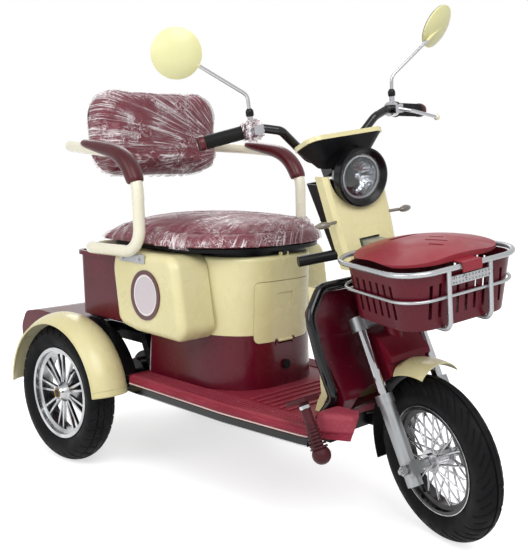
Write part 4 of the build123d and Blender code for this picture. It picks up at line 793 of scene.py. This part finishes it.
# Spokes leave the hub at its two flanges, and cross on their way to the nipples in the rim
SPOKES, SPOKE_LEAN = 36, 14
NIPPLE_R, FLANGE_R, FLANGE_Y = 0.1132, 0.022, 0.0255
spots = []
for index in range(SPOKES):
    side = FLANGE_Y if index % 2 else -FLANGE_Y
    turn = tau * index / SPOKES
    foot = turn + radians(SPOKE_LEAN if index % 4 < 2 else -SPOKE_LEAN)
    high = Vector((NIPPLE_R * sin(turn), side * 0.3, NIPPLE_R * cos(turn)))
    low = Vector((FLANGE_R * sin(foot), side, FLANGE_R * cos(foot)))
    way = (low - high).normalized()
    spots.append((FRONT_WHEEL @ high, FRONT_WHEEL.to_3x3() @ way))
bolts("spoke_nipples", spots, 0.0034, 0.011, chrome, "front_wheel", sides=8, washer=False)


# Springs: a helix, which is what the spring's shape follows

STRUT_X, STRUT_Y = -0.002, 0.15


def make_springs():
    """Wound springs on the two struts, in place of their stacked rings."""
    tree = Pattern("wound_spring", {"Coil radius": 0.0178, "Wire radius": 0.0036, "Turns": 8.5,
                                    "Length": 0.112})
    helix = tree.node("GeometryNodeCurveSpiral", {}, {
        "Resolution": 26, "Rotations": tree.size("Turns"), "Start Radius": tree.size("Coil radius"),
        "End Radius": tree.size("Coil radius"), "Height": tree.size("Length")})
    bar = tree.node("GeometryNodeCurvePrimitiveCircle", {},
                    {"Resolution": 10, "Radius": tree.size("Wire radius")})
    coil = tree.node("GeometryNodeCurveToMesh", {}, {0: helix, 1: bar, "Fill Caps": True})
    feet = [(STRUT_X, y, 0.249) for y in (-STRUT_Y, STRUT_Y)]
    tree.grow(tree.turned_to(coil), "strut_springs", feet, [(0, 0, 1)] * 2, silver, "chassis")


make_springs()
DAMPER = [(0, 0.2343), (0.021, 0.2343), (0.021, 0.244), (0.0125, 0.246), (0.0125, 0.3), (0.0075, 0.302),
          (0.0075, 0.364), (0.021, 0.366), (0.021, 0.3755), (0, 0.3755)]
struts = [turned(DAMPER, shift((STRUT_X, y, 0)), 28) for y in (-STRUT_Y, STRUT_Y)]
piece("strut_dampers", struts, frame_black, "chassis", stands_for=["rear_shocks"])


# Grips: ribbed sleeves, each with a coloured end and a bright dot

BAR_TIP, BAR_IN = Vector((-0.41, -0.337, 0.982)), Vector((-0.365, -0.19, 1.003))
ALONG_BAR = (BAR_IN - BAR_TIP).normalized()


def bar_end(side):
    """The bar's tip and the way inward from it, on the left for 1 and on the right for -1."""
    return [Vector((p.x, p.y * side, p.z)) for p in (BAR_TIP, ALONG_BAR)]


def grip_ribs():
    """Rings along both sleeves."""
    tree = Pattern("grip_ribs", {"Rib radius": 0.0162, "Rib thickness": 0.0011})
    line, bar = (tree.node("GeometryNodeCurvePrimitiveCircle", {},
                           {"Resolution": count, "Radius": tree.size(size)})
                 for count, size in ((28, "Rib radius"), (6, "Rib thickness")))
    result = tree.turned_to(tree.node("GeometryNodeCurveToMesh", {}, {0: line, 1: bar}))
    points, ways = [], []
    for side in (1, -1):
        tip, way = bar_end(side)
        for rib in range(22):
            points.append(STEERED @ (tip + way * (0.012 + rib * 0.0045)))
            ways.append(STEERED.to_3x3() @ way)
    tree.grow(result, "grip_ribs", points, ways, rubber, "steering", "rubber")


grip_ribs()
GRIP_END = [(0, -0.0036), (0.013, -0.0036), (0.0172, -0.001), (0.0186, 0.004), (0.0186, 0.013),
            (0.0168, 0.016), (0, 0.016)]
GRIP_DOT = [(0, -0.0052), (0.004, -0.0048), (0.0052, -0.0034), (0.0052, 0)]
for name, rows, steps, material in (("grip_ends", GRIP_END, 32, pad_red),
                                    ("grip_dots", GRIP_DOT, 20, chrome)):
    piece(name, [turned(rows, facing(*bar_end(side)), steps) for side in (1, -1)], material, "steering",
          steered=True)


# Armrests: pads that lie on the arm and run down over the bend of the post


def make_armrests():
    """Lofted pads: thin and lifted behind the elbow, swelling to a boot round the post."""
    rows = [
        # x, z, direction of travel in degrees below level, half width, half height, lift
        (0.103, 0.9185, 3, 0.008, 0.004, 0.0135), (0.107, 0.9183, 3, 0.016, 0.0085, 0.0135),
        (0.118, 0.9177, 3, 0.021, 0.0118, 0.013), (0.14, 0.9163, 3, 0.0232, 0.0142, 0.011),
        (0.17, 0.9146, 3, 0.0236, 0.0168, 0.0085), (0.205, 0.9126, 3, 0.0232, 0.0186, 0.005),
        (0.235, 0.911, 5, 0.023, 0.02, 0.0022), (0.2545, 0.9066, 16, 0.0232, 0.0212, 0.0012),
        (0.276, 0.8983, 28, 0.0238, 0.0222, 0.0006), (0.2965, 0.8848, 41, 0.0242, 0.0228, 0.0),
        (0.313, 0.8683, 53, 0.0243, 0.0232, 0.0), (0.3262, 0.848, 65, 0.0238, 0.0232, 0.0),
        (0.3325, 0.8336, 72, 0.0226, 0.0224, 0.0), (0.3334, 0.8312, 72, 0.019, 0.019, 0.0),
    ]
    parts = []
    for side in (-1, 1):
        rings = []
        for x, z, fall, half_width, half_height, lift in rows:
            up = Vector((sin(radians(fall)), 0, cos(radians(fall))))
            rings.append(ring_of(Vector((x, side * 0.316, z)) + up * lift, Vector((0, 1, 0)), up,
                                 half_width, half_height, 28, 2.3))
        parts.append(skin_rings(rings))
    pads = piece("armrest_pads", parts, pad_red, "chassis", crease=80, stands_for=["armrests"])
    finer = pads.modifiers.new("smooth", "SUBSURF")
    finer.levels = finer.render_levels = 1


make_armrests()


# Cushions


SWELL_STEPS = 20


def stuffed(name, node, shrink, voxel, cap, rests):
    """A cushion swollen by the cloth solver from a slightly smaller copy of its CAD form."""
    source = NODES[node].data.copy()
    form = bmesh.new()
    form.from_mesh(source)
    bmesh.ops.remove_doubles(form, verts=form.verts, dist=1e-5)
    centre = sum((v.co for v in form.verts), Vector()) / len(form.verts)
    for v in form.verts:
        v.co = centre + Vector([(v.co[i] - centre[i]) * shrink[i] for i in range(3)])
    form.to_mesh(source)
    form.free()
    source.materials.clear()
    holder = put(name + "_start", source)
    remesh = holder.modifiers.new("even", "REMESH")
    remesh.mode, remesh.voxel_size, remesh.use_smooth_shade = "VOXEL", voxel, True
    start = applied(holder)
    holder.modifiers.clear()
    holder.data = start
    points = np.array([v.co for v in start.vertices])
    held = holder.vertex_groups.new(name="held")
    held.add([i for i, p in enumerate(points) if rests(Vector(p))], 1.0, "REPLACE")
    cloth = holder.modifiers.new("swell", "CLOTH")
    cloth.settings.quality = 5
    cloth.settings.use_pressure = True
    cloth.settings.uniform_pressure_force = 4
    cloth.settings.tension_stiffness = cloth.settings.compression_stiffness = 18
    cloth.settings.effector_weights.gravity = 0
    cloth.settings.vertex_group_mass = "held"
    cloth.point_cache.frame_start, cloth.point_cache.frame_end = 1, SWELL_STEPS
    for step in range(1, SWELL_STEPS + 1):
        scene.frame_set(step)
    swollen = applied(holder)
    scene.frame_set(1)
    holder.modifiers.clear()
    moved = np.array([v.co for v in swollen.vertices]) - points
    size = np.maximum(np.linalg.norm(moved, axis=1, keepdims=True), 1e-9)
    points = points + moved / size * np.minimum(size, cap)
    start.vertices.foreach_set("co", points.ravel())
    start.update()
    bpy.data.objects.remove(holder)
    return start


def divided(mesh):
    """One round of subdivision."""
    holder = put("divided", mesh)
    holder.modifiers.new("finer", "SUBSURF").levels = 1
    finer = applied(holder)
    bpy.data.objects.remove(holder)
    smooth(finer)
    return finer


def seam_line(mesh, place, height):
    """A closed line round a cushion, where a plane at a height meets it, read from outside."""
    tree = BVHTree.FromPolygons([v.co for v in mesh.vertices], [tuple(p.vertices) for p in mesh.polygons])
    line = []
    for i in range(150):
        turn = tau * i / 150
        way = place.to_3x3() @ Vector((cos(turn), sin(turn), 0))
        start = place @ Vector((0, 0, height)) + way
        hit = tree.ray_cast(start, -way, 1.2)[0]
        if hit is not None:
            line.append(hit)
    return line


SEAT_X = 0.337
BACK_TILT = radians(8)
BACK = shift((-0.008, 0, 0.96)) @ Matrix(((0, -sin(BACK_TILT), cos(BACK_TILT)), (1, 0, 0),
                                          (0, cos(BACK_TILT), sin(BACK_TILT)))).to_4x4()
TO_BACK = BACK.inverted()
back_wrap = film("back_film", BACK, (0.25, -0.06), 17.0, 2.2)
seat_wrap = film("seat_film", Matrix.Identity(4), (0.38, 0.34), 19.0, 1.8)

seat_form = stuffed("seat", "seat_cushion", (0.985, 0.985, 0.93), 0.0068, 0.011, lambda p: p.z < 0.6685)
back_form = stuffed("back", "backrest_cushion", (0.94, 0.975, 0.965), 0.0058, 0.010,
                    lambda p: (TO_BACK @ p).z < 0.004)


def pinch(mesh, line, depth, width):
    """Pulls a cushion's skin in along a seam."""
    points = np.array([v.co for v in mesh.vertices])
    seam = np.array(line)
    normals = np.array([v.normal for v in mesh.vertices])
    for chunk in range(0, len(points), 4000):
        some = points[chunk:chunk + 4000]
        gap = np.sqrt(((some[:, None] - seam[None]) ** 2).sum(2)).min(1)
        share = np.clip(1 - gap / width, 0, 1)[:, None]
        points[chunk:chunk + 4000] -= normals[chunk:chunk + 4000] * share * share * depth
    mesh.vertices.foreach_set("co", points.ravel())
    mesh.update()


seat_line = seam_line(seat_form, shift((SEAT_X, 0, 0)), 0.7045)
back_line = seam_line(back_form, BACK, 0.055)
for form, line in ((seat_form, seat_line), (back_form, back_line)):
    pinch(form, line, depth=0.0022, width=0.014)
seat_pad = finished("seat_pad", divided(seat_form), cushion_vinyl, "seat", ["seat_cushion"])
back_pad = finished("back_pad", divided(back_form), cushion_vinyl, "chassis", ["backrest_cushion"])
for name, line, body in (("seat_piping", seat_line, "seat"), ("back_piping", back_line, "chassis")):
    piece(name, [wire(line[::2], 0.0026, closed=True, steps=4)], cushion_vinyl, body)


# Wrapping film


def crease_line(point, sharp=5.0):
    """Ridges along the lines where a smooth noise is zero."""
    return max(0.0, 1 - sharp * abs(noise.noise(point))) ** 1.6


def fan_folds(across, up, focus, spread, run):
    """Tension folds that fan out from a point where the film is gathered."""
    a, b = across - focus[0], up - focus[1]
    turn, far = atan2(b, a), hypot(a, b)
    fold = crease_line(Vector((turn * spread, far * run, 0.4)), 3.4)
    thin = crease_line(Vector((turn * spread * 2.3, far * run * 1.6, 7.1)), 3.6) * 0.6
    return max(fold, thin) * min(1.0, far / 0.05)


def back_folds(p):
    """Folds of the backrest's film: a fan on its left, bunched along its foot."""
    local = TO_BACK @ p
    fan = fan_folds(local.x, local.y, (0.25, -0.05), 14.0, 3.0)
    low = crease_line(Vector((local.x * 26, local.y * 60, 2.0)), 4.0) * (1 if local.y < -0.07 else 0.0)
    fine = crease_line(p * 60 + Vector((3, 1, 5)), 4.5) * 0.6
    left = min(1.0, max(0.0, (0.1 - local.x) / 0.2))
    return max(fan * (0.85 if local.y > -0.08 else 0.2), low, fine * left)


def seat_folds(p):
    """Folds of the seat's film: a fan from the left seat post, bunched round its side."""
    fan = fan_folds(p.x, p.y, (0.38, 0.33), 16.0, 2.5)
    low = crease_line(Vector((p.x * 22, p.y * 22, p.z * 30)), 4.0) * (1 if p.z < 0.7 else 0.15)
    fine = crease_line(p * 48 + Vector((1, 8, 2)), 4.5) * 0.6
    near = min(1.0, max(0.0, (p.x - 0.3) / 0.2))
    return max(fan * 0.9, low * 0.8, fine * near)


FILM_LIFT = 0.0032


def film_piece(name, skin, ridges, material, body):
    """Adds a film: its folds are an attribute that its material reads, to paint highlights along them."""
    fold = skin.attributes.new("fold", "FLOAT", "POINT")
    fold.data.foreach_set("value", ridges)
    smooth(skin)
    made = finished(name, skin, material, body)


def wrapped(name, pad, keep, folds, height, body, material):
    """A thin film over a cushion: its skin pushed out, ridged along its folds, open behind."""
    form = bmesh.new()
    form.from_mesh(pad.data)
    form.normal_update()
    doomed = [f for f in form.faces if not keep(f.calc_center_median(), f.normal)]
    bmesh.ops.delete(form, geom=doomed, context="FACES")
    loose = [v for v in form.verts if not v.link_faces]
    bmesh.ops.delete(form, geom=loose, context="VERTS")
    bmesh.ops.smooth_vert(form, verts=form.verts, factor=0.5,
                          use_axis_x=True, use_axis_y=True, use_axis_z=True)
    form.normal_update()
    ridges = [folds(v.co) for v in form.verts]
    moved = [v.co + v.normal * (FILM_LIFT + height * ridge) for v, ridge in zip(form.verts, ridges)]
    for v, place in zip(form.verts, moved):
        v.co = place
    skin = bpy.data.meshes.new(name)
    form.to_mesh(skin)
    form.free()
    film_piece(name, skin, ridges, material, body)


wrapped("seat_film", seat_pad, lambda c, n: n.z > -0.5, seat_folds, 0.0042, "seat", seat_wrap)
wrapped("back_film", back_pad, lambda c, n: (TO_BACK @ c).z > 0.006, back_folds, 0.0048, "chassis",
        back_wrap)


def scrap(name, corners, rows, cols, ripple, seed, body):
    """A loose three-cornered piece of film, crumpled by noise."""
    a, b, c, d = (Vector(p) for p in corners)
    normal = (b - a).cross(d - a).normalized()
    rings, ridges = [], []
    for i in range(rows + 1):
        rings.append([])
        for j in range(cols + 1):
            u, v = i / rows, j / cols
            at = (a * (1 - u) + b * u) * (1 - v) + (d * (1 - u) + c * u) * v
            wave = noise.noise(at * 26 + Vector((seed, 0, 0)))
            ridge = crease_line(at * 40 + Vector((0, seed, 0)), 3.0)
            ridges.append(ridge)
            rings[-1].append(at + normal * (ripple * wave + 0.0015 * ridge))
    mesh = mesh_of(*skin_rings(rings, round_it=False, capped=False))
    film_piece(name, mesh, ridges, seat_wrap, body)


scrap("seat_film_flap", [(0.437, -0.2905, 0.667), (0.515, -0.287, 0.668), (0.472, -0.297, 0.712),
                         (0.468, -0.297, 0.712)], 18, 14, 0.004, 3.0, "seat")


def gathered(name, centre, axis, radii, length, seed, body):
    """Film bunched round a post: a crumpled open sleeve."""
    place = facing(Vector(centre), axis)
    rings, ridges, steps, rows = [], [], 72, 22
    for row in range(rows + 1):
        share = row / rows
        swell = sin(pi * share)
        rings.append([])
        for i in range(steps):
            turn = tau * i / steps
            at = Vector((cos(turn), sin(turn), share * 2))
            crumple = noise.fractal(at * 2.4 + Vector((seed, 0, 0)), 0.6, 2.0, 5)
            radius = radii[0] + (radii[1] - radii[0]) * swell + 0.009 * crumple * (0.3 + swell)
            ridges.append(min(1.0, max(0.0, abs(crumple) * 1.6)))
            spot = Vector((radius * cos(turn), radius * sin(turn), (share - 0.5) * length))
            rings[-1].append(place @ spot)
    mesh = mesh_of(*skin_rings(rings, capped=False))
    film_piece(name, mesh, ridges, seat_wrap, body)


gathered("post_film", (0.349, 0.316, 0.684), (0, 0, 1), (0.0175, 0.032), 0.062, 1.0, "chassis")
BAR_BLOCK = BAR_TIP + ALONG_BAR * 0.133
gathered("clamp_film", STEERED @ (BAR_BLOCK + Vector((0.004, 0, 0))), STEERED.to_3x3() @ ALONG_BAR,
         (0.0195, 0.0235), 0.052, 5.0, "steering")


# Headlight: bowl, bulb carrier and ring light behind the lens

LAMP = STEERED @ shift((-0.219, 0, 0.862)) @ Matrix.Rotation(radians(93.6), 4, "Y")


def fluted_bowl():
    """A reflector with upright facets round its bowl."""
    rows = [(0.0475, -0.0188), (0.0455, -0.024), (0.042, -0.0315), (0.037, -0.0375), (0.030, -0.0425),
            (0.022, -0.0465), (0.013, -0.0495), (0.0, -0.0505)]
    steps, rings = 96, []
    for radius, height in rows:
        ring = []
        for i in range(steps):
            turn = tau * i / steps
            r = radius * (1 - 0.035 * abs(sin(turn * 12)) * (radius > 0.012))
            ring.append(LAMP @ Vector((r * cos(turn), r * sin(turn), height)))
        rings.append(ring)
    return skin_rings(rings, capped=False)


piece("lamp_bowl_reflector", [fluted_bowl()], bright_bowl, "steering", crease=25)
LAMP_RING = [(0.0475, -0.019), (0.0485, -0.0135), (0.0525, -0.0135), (0.0552, -0.0158), (0.0552, -0.0172)]
CARRIER = [(0, -0.049), (0.013, -0.049), (0.013, -0.036), (0.0105, -0.033), (0, -0.033)]
BULB = [(0.0085, -0.033), (0.0095, -0.029), (0.0085, -0.0255), (0.005, -0.0232), (0, -0.0225)]
piece("lamp_ring", [turned(LAMP_RING, LAMP, 72)], silver, "steering")
piece("lamp_carrier", [turned(CARRIER, LAMP, 32),
                       block(LAMP @ shift((0.001, 0, -0.036)), (0.0035, 0.07, 0.012), 0.001),
                       block(LAMP @ shift((0.017, 0, -0.039)), (0.026, 0.02, 0.008), 0.002)],
      satin_black, "steering")
piece("lamp_bulb", [turned(BULB, LAMP, 32)], bright_bowl, "steering")


# Mirrors: pane, rim, and the nut at the foot of each arm

PANE = [(0, -0.0094), (0.052, -0.0094), (0.0535, -0.0082), (0.0535, -0.0075)]
RIM = [(0.0535, -0.0078), (0.0542, -0.0102), (0.0575, -0.0104), (0.0588, -0.0085), (0.0588, -0.0072)]
NUT = [(0, 0), (0.0085, 0), (0.0098, 0.003), (0.0098, 0.012), (0.008, 0.016), (0.0052, 0.019)]
for side, name, place, tilt in ((-1, "right", RIGHT_MIRROR, 4), (1, "left", LEFT_MIRROR, 28)):
    head = (STEERED @ shift(place) @ Matrix.Rotation(radians(side * 21), 4, "Z")
            @ Matrix.Rotation(radians(90 + tilt), 4, "Y"))
    arm_foot = STEERED @ shift((-0.369, side * 0.212, 1.0335))
    piece(f"mirror_pane_{name}", [turned(PANE, head, 64)], mirror_pane, "steering")
    piece(f"mirror_rim_{name}", [turned(RIM, head, 64)], black, "steering")
    piece(f"mirror_nut_{name}", [turned(NUT, arm_foot, 24)], satin_black, "steering")


# Instruments

DASH = STEERED @ shift((-0.315, 0, 0.944)) @ Matrix.Rotation(radians(-20), 4, "Y")
MARK_Z, DIAL_R = 0.0103, 0.02
piece("screen", [block(DASH @ shift((-0.004, 0, 0.0092)), (0.0572, 0.1152, 0.0018), 0.0006)], screen_pane,
      "steering")
marks = []
for i in range(25):
    turn = radians(-120 + 240 * i / 24)
    length = 0.0045 if i % 4 == 0 else 0.0025
    out = DIAL_R - length / 2
    centre = Vector((-0.004 + out * cos(turn), out * sin(turn), MARK_Z))
    marks.append(block(DASH @ shift(centre) @ Matrix.Rotation(turn, 4, "Z"), (length, 0.0006, 0.0004),
                       0.0001))
for row in range(5):
    for y, length in ((-0.042, 0.012), (0.042, 0.006)):
        marks.append(block(DASH @ shift((-0.018 + row * 0.007, y, MARK_Z)), (0.004, length, 0.0004), 0.0001))
piece("screen_marks", marks, cream_paint, "steering")


# Floor edge: a rounded nosing, a pale line and a black channel below

OUTLINE = [(0.236, 0.2645), (0.35, 0.2661), (0.48, 0.268), (0.6, 0.2697), (0.625, 0.2698), (0.66, 0.2675),
           (0.74, 0.2622), (0.82, 0.2566), (0.868, 0.2528), (0.888, 0.2488)]


def along_edge(section, side):
    """A section of (outward, height) points carried along the floor's side."""
    line = [Vector((x, side * y, 0)) for x, y in OUTLINE]
    rings = []
    for i, p in enumerate(line):
        run = (line[min(i + 1, len(line) - 1)] - line[max(i - 1, 0)]).normalized()
        out = Vector((run.y, -run.x, 0))
        out = out if out.y * side > 0 else -out
        rings.append([p + out * o + Vector((0, 0, z)) for o, z in section])
    return skin_rings(rings)


NOSING = [(0.0005, 0.2668), (0.0032, 0.2684), (0.0046, 0.2716), (0.0046, 0.2756), (0.0032, 0.2798),
          (0.0004, 0.2834), (-0.0038, 0.2862), (-0.0095, 0.2876), (-0.0145, 0.2872), (-0.0175, 0.2838),
          (-0.004, 0.2830), (-0.001, 0.27)]
PALE = [(0.0002, 0.2636), (0.0046, 0.2638), (0.0058, 0.2652), (0.0046, 0.2668), (0.0002, 0.2670)]
CHANNEL = [(-0.012, 0.2405), (0.0026, 0.2405), (0.0046, 0.2425), (0.0046, 0.2615), (0.0028, 0.2634),
           (-0.0002, 0.2636), (-0.012, 0.2636)]
BRIGHT = [(0.0042, 0.2416), (0.0056, 0.2422), (0.0056, 0.2446), (0.0042, 0.2452)]
for name, section, material in (("floor_nosing", NOSING, floor_red), ("floor_trim_line", PALE, trim_white),
                                ("floor_channel", CHANNEL, gloss_black),
                                ("floor_bright_edge", BRIGHT, chrome)):
    piece(name, [along_edge(section, side) for side in (-1, 1)], material, "chassis", crease=30)


# Fender edges: a rolled bead round each rear fender

FENDER_R, FENDER_SIDE = 0.2105, 0.3735


def fender_bead(side):
    """A rolled bead along the fender's outer edge."""
    points = []
    for i in range(40):
        turn = radians(9 + 170 * i / 39)
        points.append((FENDER_R * cos(turn), side * FENDER_SIDE, TYRE_R + FENDER_R * sin(turn)))
    return wire(points, 0.0024, steps=3)


def fender_hoop(side, angle):
    """A raised line across the fender near its front end."""
    rows = arc_rows((0.374, FENDER_R), (0.316, 0.2366), (0.258, 0.2165), 14)
    turn = radians(angle)
    return wire([((r + 0.0002) * cos(turn), side * y, TYRE_R + (r + 0.0002) * sin(turn)) for y, r in rows],
                0.0019, steps=3)


piece("fender_beads", [fender_bead(side) for side in (-1, 1)]
      + [fender_hoop(side, angle) for angle in (13, 9) for side in (-1, 1)], cream, "chassis")


# Basket front: the pierced strip on the crossbar


def pierced_strip():
    """A flat strip with two rows of round holes, drawn hole by hole."""
    width, height, thick, x0 = 0.108, 0.019, 0.0016, 0.1442
    columns, rows, radius, sides = 12, 2, 0.0024, 12
    parts = []
    cell_w, cell_h = width / columns, height / rows
    for column in range(columns):
        for row in range(rows):
            cy, cz = -width / 2 + (column + 0.5) * cell_w, 0.6745 - height / 2 + (row + 0.5) * cell_h
            inner, outer = [], []
            for i in range(sides):
                turn = tau * (i + 0.5) / sides
                c, s = cos(turn), sin(turn)
                inner.append((cy + radius * c, cz + radius * s))
                k = max(abs(c), abs(s))
                outer.append((cy + cell_w / 2 * c / k, cz + cell_h / 2 * s / k))
            rings = [[Vector((x, y, z)) for y, z in loop] for x, loop in (
                (x0, inner), (x0 + thick, inner), (x0 + thick, outer), (x0, outer))]
            parts.append(skin_rings(rings, closed=True))
    return parts


piece("crossbar_strip", pierced_strip(), silver, "steering", steered=True)


# Seat box lock

lock = facing(Vector((0.5265, -0.1325, 0.5325)), (0.62, -0.78, 0))
LOCK_RING = [(0.0105, -0.002), (0.0122, 0.0006), (0.0122, 0.0016), (0.0104, 0.0026), (0.0088, 0.0016),
             (0.0088, -0.002)]
BARREL = [(0, 0.0012), (0.0082, 0.0012), (0.0088, 0.0004), (0.0088, -0.002)]
piece("box_lock_ring", [turned(LOCK_RING, lock, 36)], cream_paint, "chassis")
piece("box_lock_barrel", [turned(BARREL, lock, 28),
                          block(lock @ shift((0, 0, 0.0016)), (0.0016, 0.0078, 0.0012), 0.0002)],
      brass, "chassis")


# Lever ball, pedal and valve stems

BALL = [(0, -0.0085), (0.005, -0.0072), (0.0082, -0.0028), (0.0082, 0.0028), (0.005, 0.0072), (0, 0.0085)]
piece("lever_ball", [turned(BALL, shift((-0.343, 0.336, 0.964)), 24)], cream_paint, "steering", steered=True)

PEDAL = Vector((0.89, -0.272, 0.353))
STEM = (Vector((0.949, -0.272, 0.243)) - PEDAL).normalized()
NECK = [(0.0122, 0.0075), (0.0134, 0.0085), (0.0134, 0.0155), (0.0122, 0.0165)]
piece("pedal_neck", [turned(NECK, facing(PEDAL, STEM), 28)], chrome, "chassis")
tread = shift(PEDAL) @ Matrix.Rotation(radians(-26), 4, "Y")
piece("pedal_ribs", [block(tread @ shift((x, 0, 0.0095)), (0.004, 0.05, 0.003), 0.001)
                     for x in (-0.022, -0.011, 0, 0.011, 0.022)], pedal_rubber, "chassis")

VALVE_R = 0.113
VALVE = [(0.0042, -0.002), (0.0042, 0.004), (0.0028, 0.006), (0.0028, 0.02), (0.0036, 0.0205),
         (0.0036, 0.028), (0, 0.0285)]
for name, place, body, at in (("right", RIGHT_WHEEL, "rear_wheel_right", 0.7),
                              ("left", LEFT_WHEEL, "rear_wheel_left", 2.1),
                              ("front", FRONT_WHEEL, "front_wheel", 3.6)):
    foot = place @ Vector((VALVE_R * sin(at), -0.012, VALVE_R * cos(at)))
    way = place.to_3x3() @ Vector((-sin(at), -0.55, -cos(at)))
    piece(f"valve_{name}", [turned(VALVE, facing(foot, way), 18)], rubber, body)


# Camera, from the photograph's viewpoint

SIGHT = Matrix(((0.71688404, -0.11439829, 0.68774291), (0.69706642, 0.09885496, -0.71015921),
                (0.0132542, 0.98850429, 0.15061075)))
eye = put("eye", bpy.data.cameras.new("eye"))
eye.matrix_world = shift((2.19223, -1.75053, 0.93932)) @ SIGHT.to_4x4()
IMAGE_W, IMAGE_H, FOCAL_PX = 528, 556, 889.18
eye.data.sensor_width = 36
eye.data.lens = FOCAL_PX * eye.data.sensor_width / max(IMAGE_W, IMAGE_H)
eye.data.clip_start, eye.data.clip_end = 0.05, 60
scene.camera = eye


# Studio: white floor and background, soft lamps


def seen_straight(wiring):
    """1 for what the camera sees, in a reflection and through glass too, and 0 for light on the object."""
    path = wiring.tree.nodes.new("ShaderNodeLightPath")
    straight, mirrored, through = (Wire(wiring, path.outputs[name])
                                   for name in ("Is Camera Ray", "Is Glossy Ray", "Is Transmission Ray"))
    either = straight.maths("MAXIMUM", straight, mirrored)
    return either.maths("MAXIMUM", either, through)


WORLD_LIGHT, FLOOR_LIFT = 0.5, 0.62
world = bpy.data.worlds.new("studio")
scene.world = world
world.use_nodes = True
sky = Wiring(world.node_tree)
sky.tree.nodes.clear()
soft = sky.node("ShaderNodeBackground", {}, {0: (1, 1, 1, 1), 1: WORLD_LIGHT})
white = sky.node("ShaderNodeBackground", {}, {0: (1, 1, 1, 1), 1: 1.0})
mixed = sky.node("ShaderNodeMixShader", {}, {0: seen_straight(sky), 1: soft, 2: white})
sky.node("ShaderNodeOutputWorld", {}, {0: mixed})

ground_mesh = mesh_of([(-9, -9, 0), (9, -9, 0), (9, 9, 0), (-9, 9, 0)], [[0, 1, 2, 3]])
ground = put("ground", ground_mesh)
sheen = bpy.data.materials.new("ground_white")
sheen.use_nodes = True
base = Wiring(sheen.node_tree)
base.tree.nodes.clear()
matt = base.node("ShaderNodeBsdfDiffuse", {}, {0: (0.82, 0.82, 0.82, 1)})
glow = base.node("ShaderNodeEmission", {}, {0: (1, 1, 1, 1), 1: seen_straight(base) * FLOOR_LIFT})
both_lit = base.node("ShaderNodeAddShader", {}, {0: matt, 1: glow})
base.node("ShaderNodeOutputMaterial", {}, {0: both_lit})
ground_mesh.materials.append(sheen)
ground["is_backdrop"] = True

LAMPS = [
    # place, size, power, aimed at
    ((2.6, -1.2, 2.9), 2.2, 62, (0.5, 0, 0.4)),
    ((0.4, -3.2, 2.0), 2.4, 40, (0.4, 0, 0.5)),
    ((-1.8, 1.6, 2.6), 2.0, 34, (0.3, 0, 0.6)),
]
for index, (place, size, power, aim) in enumerate(LAMPS):
    lamp = bpy.data.lights.new(f"softbox_{index}", "AREA")
    lamp.shape, lamp.size, lamp.energy = "DISK", size, power
    holder = put(f"softbox_{index}", lamp)
    holder.location = place
    holder.rotation_euler = (Vector(aim) - Vector(place)).to_track_quat("-Z", "Y").to_euler()

scene.view_settings.view_transform = "Standard"

low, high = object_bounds()
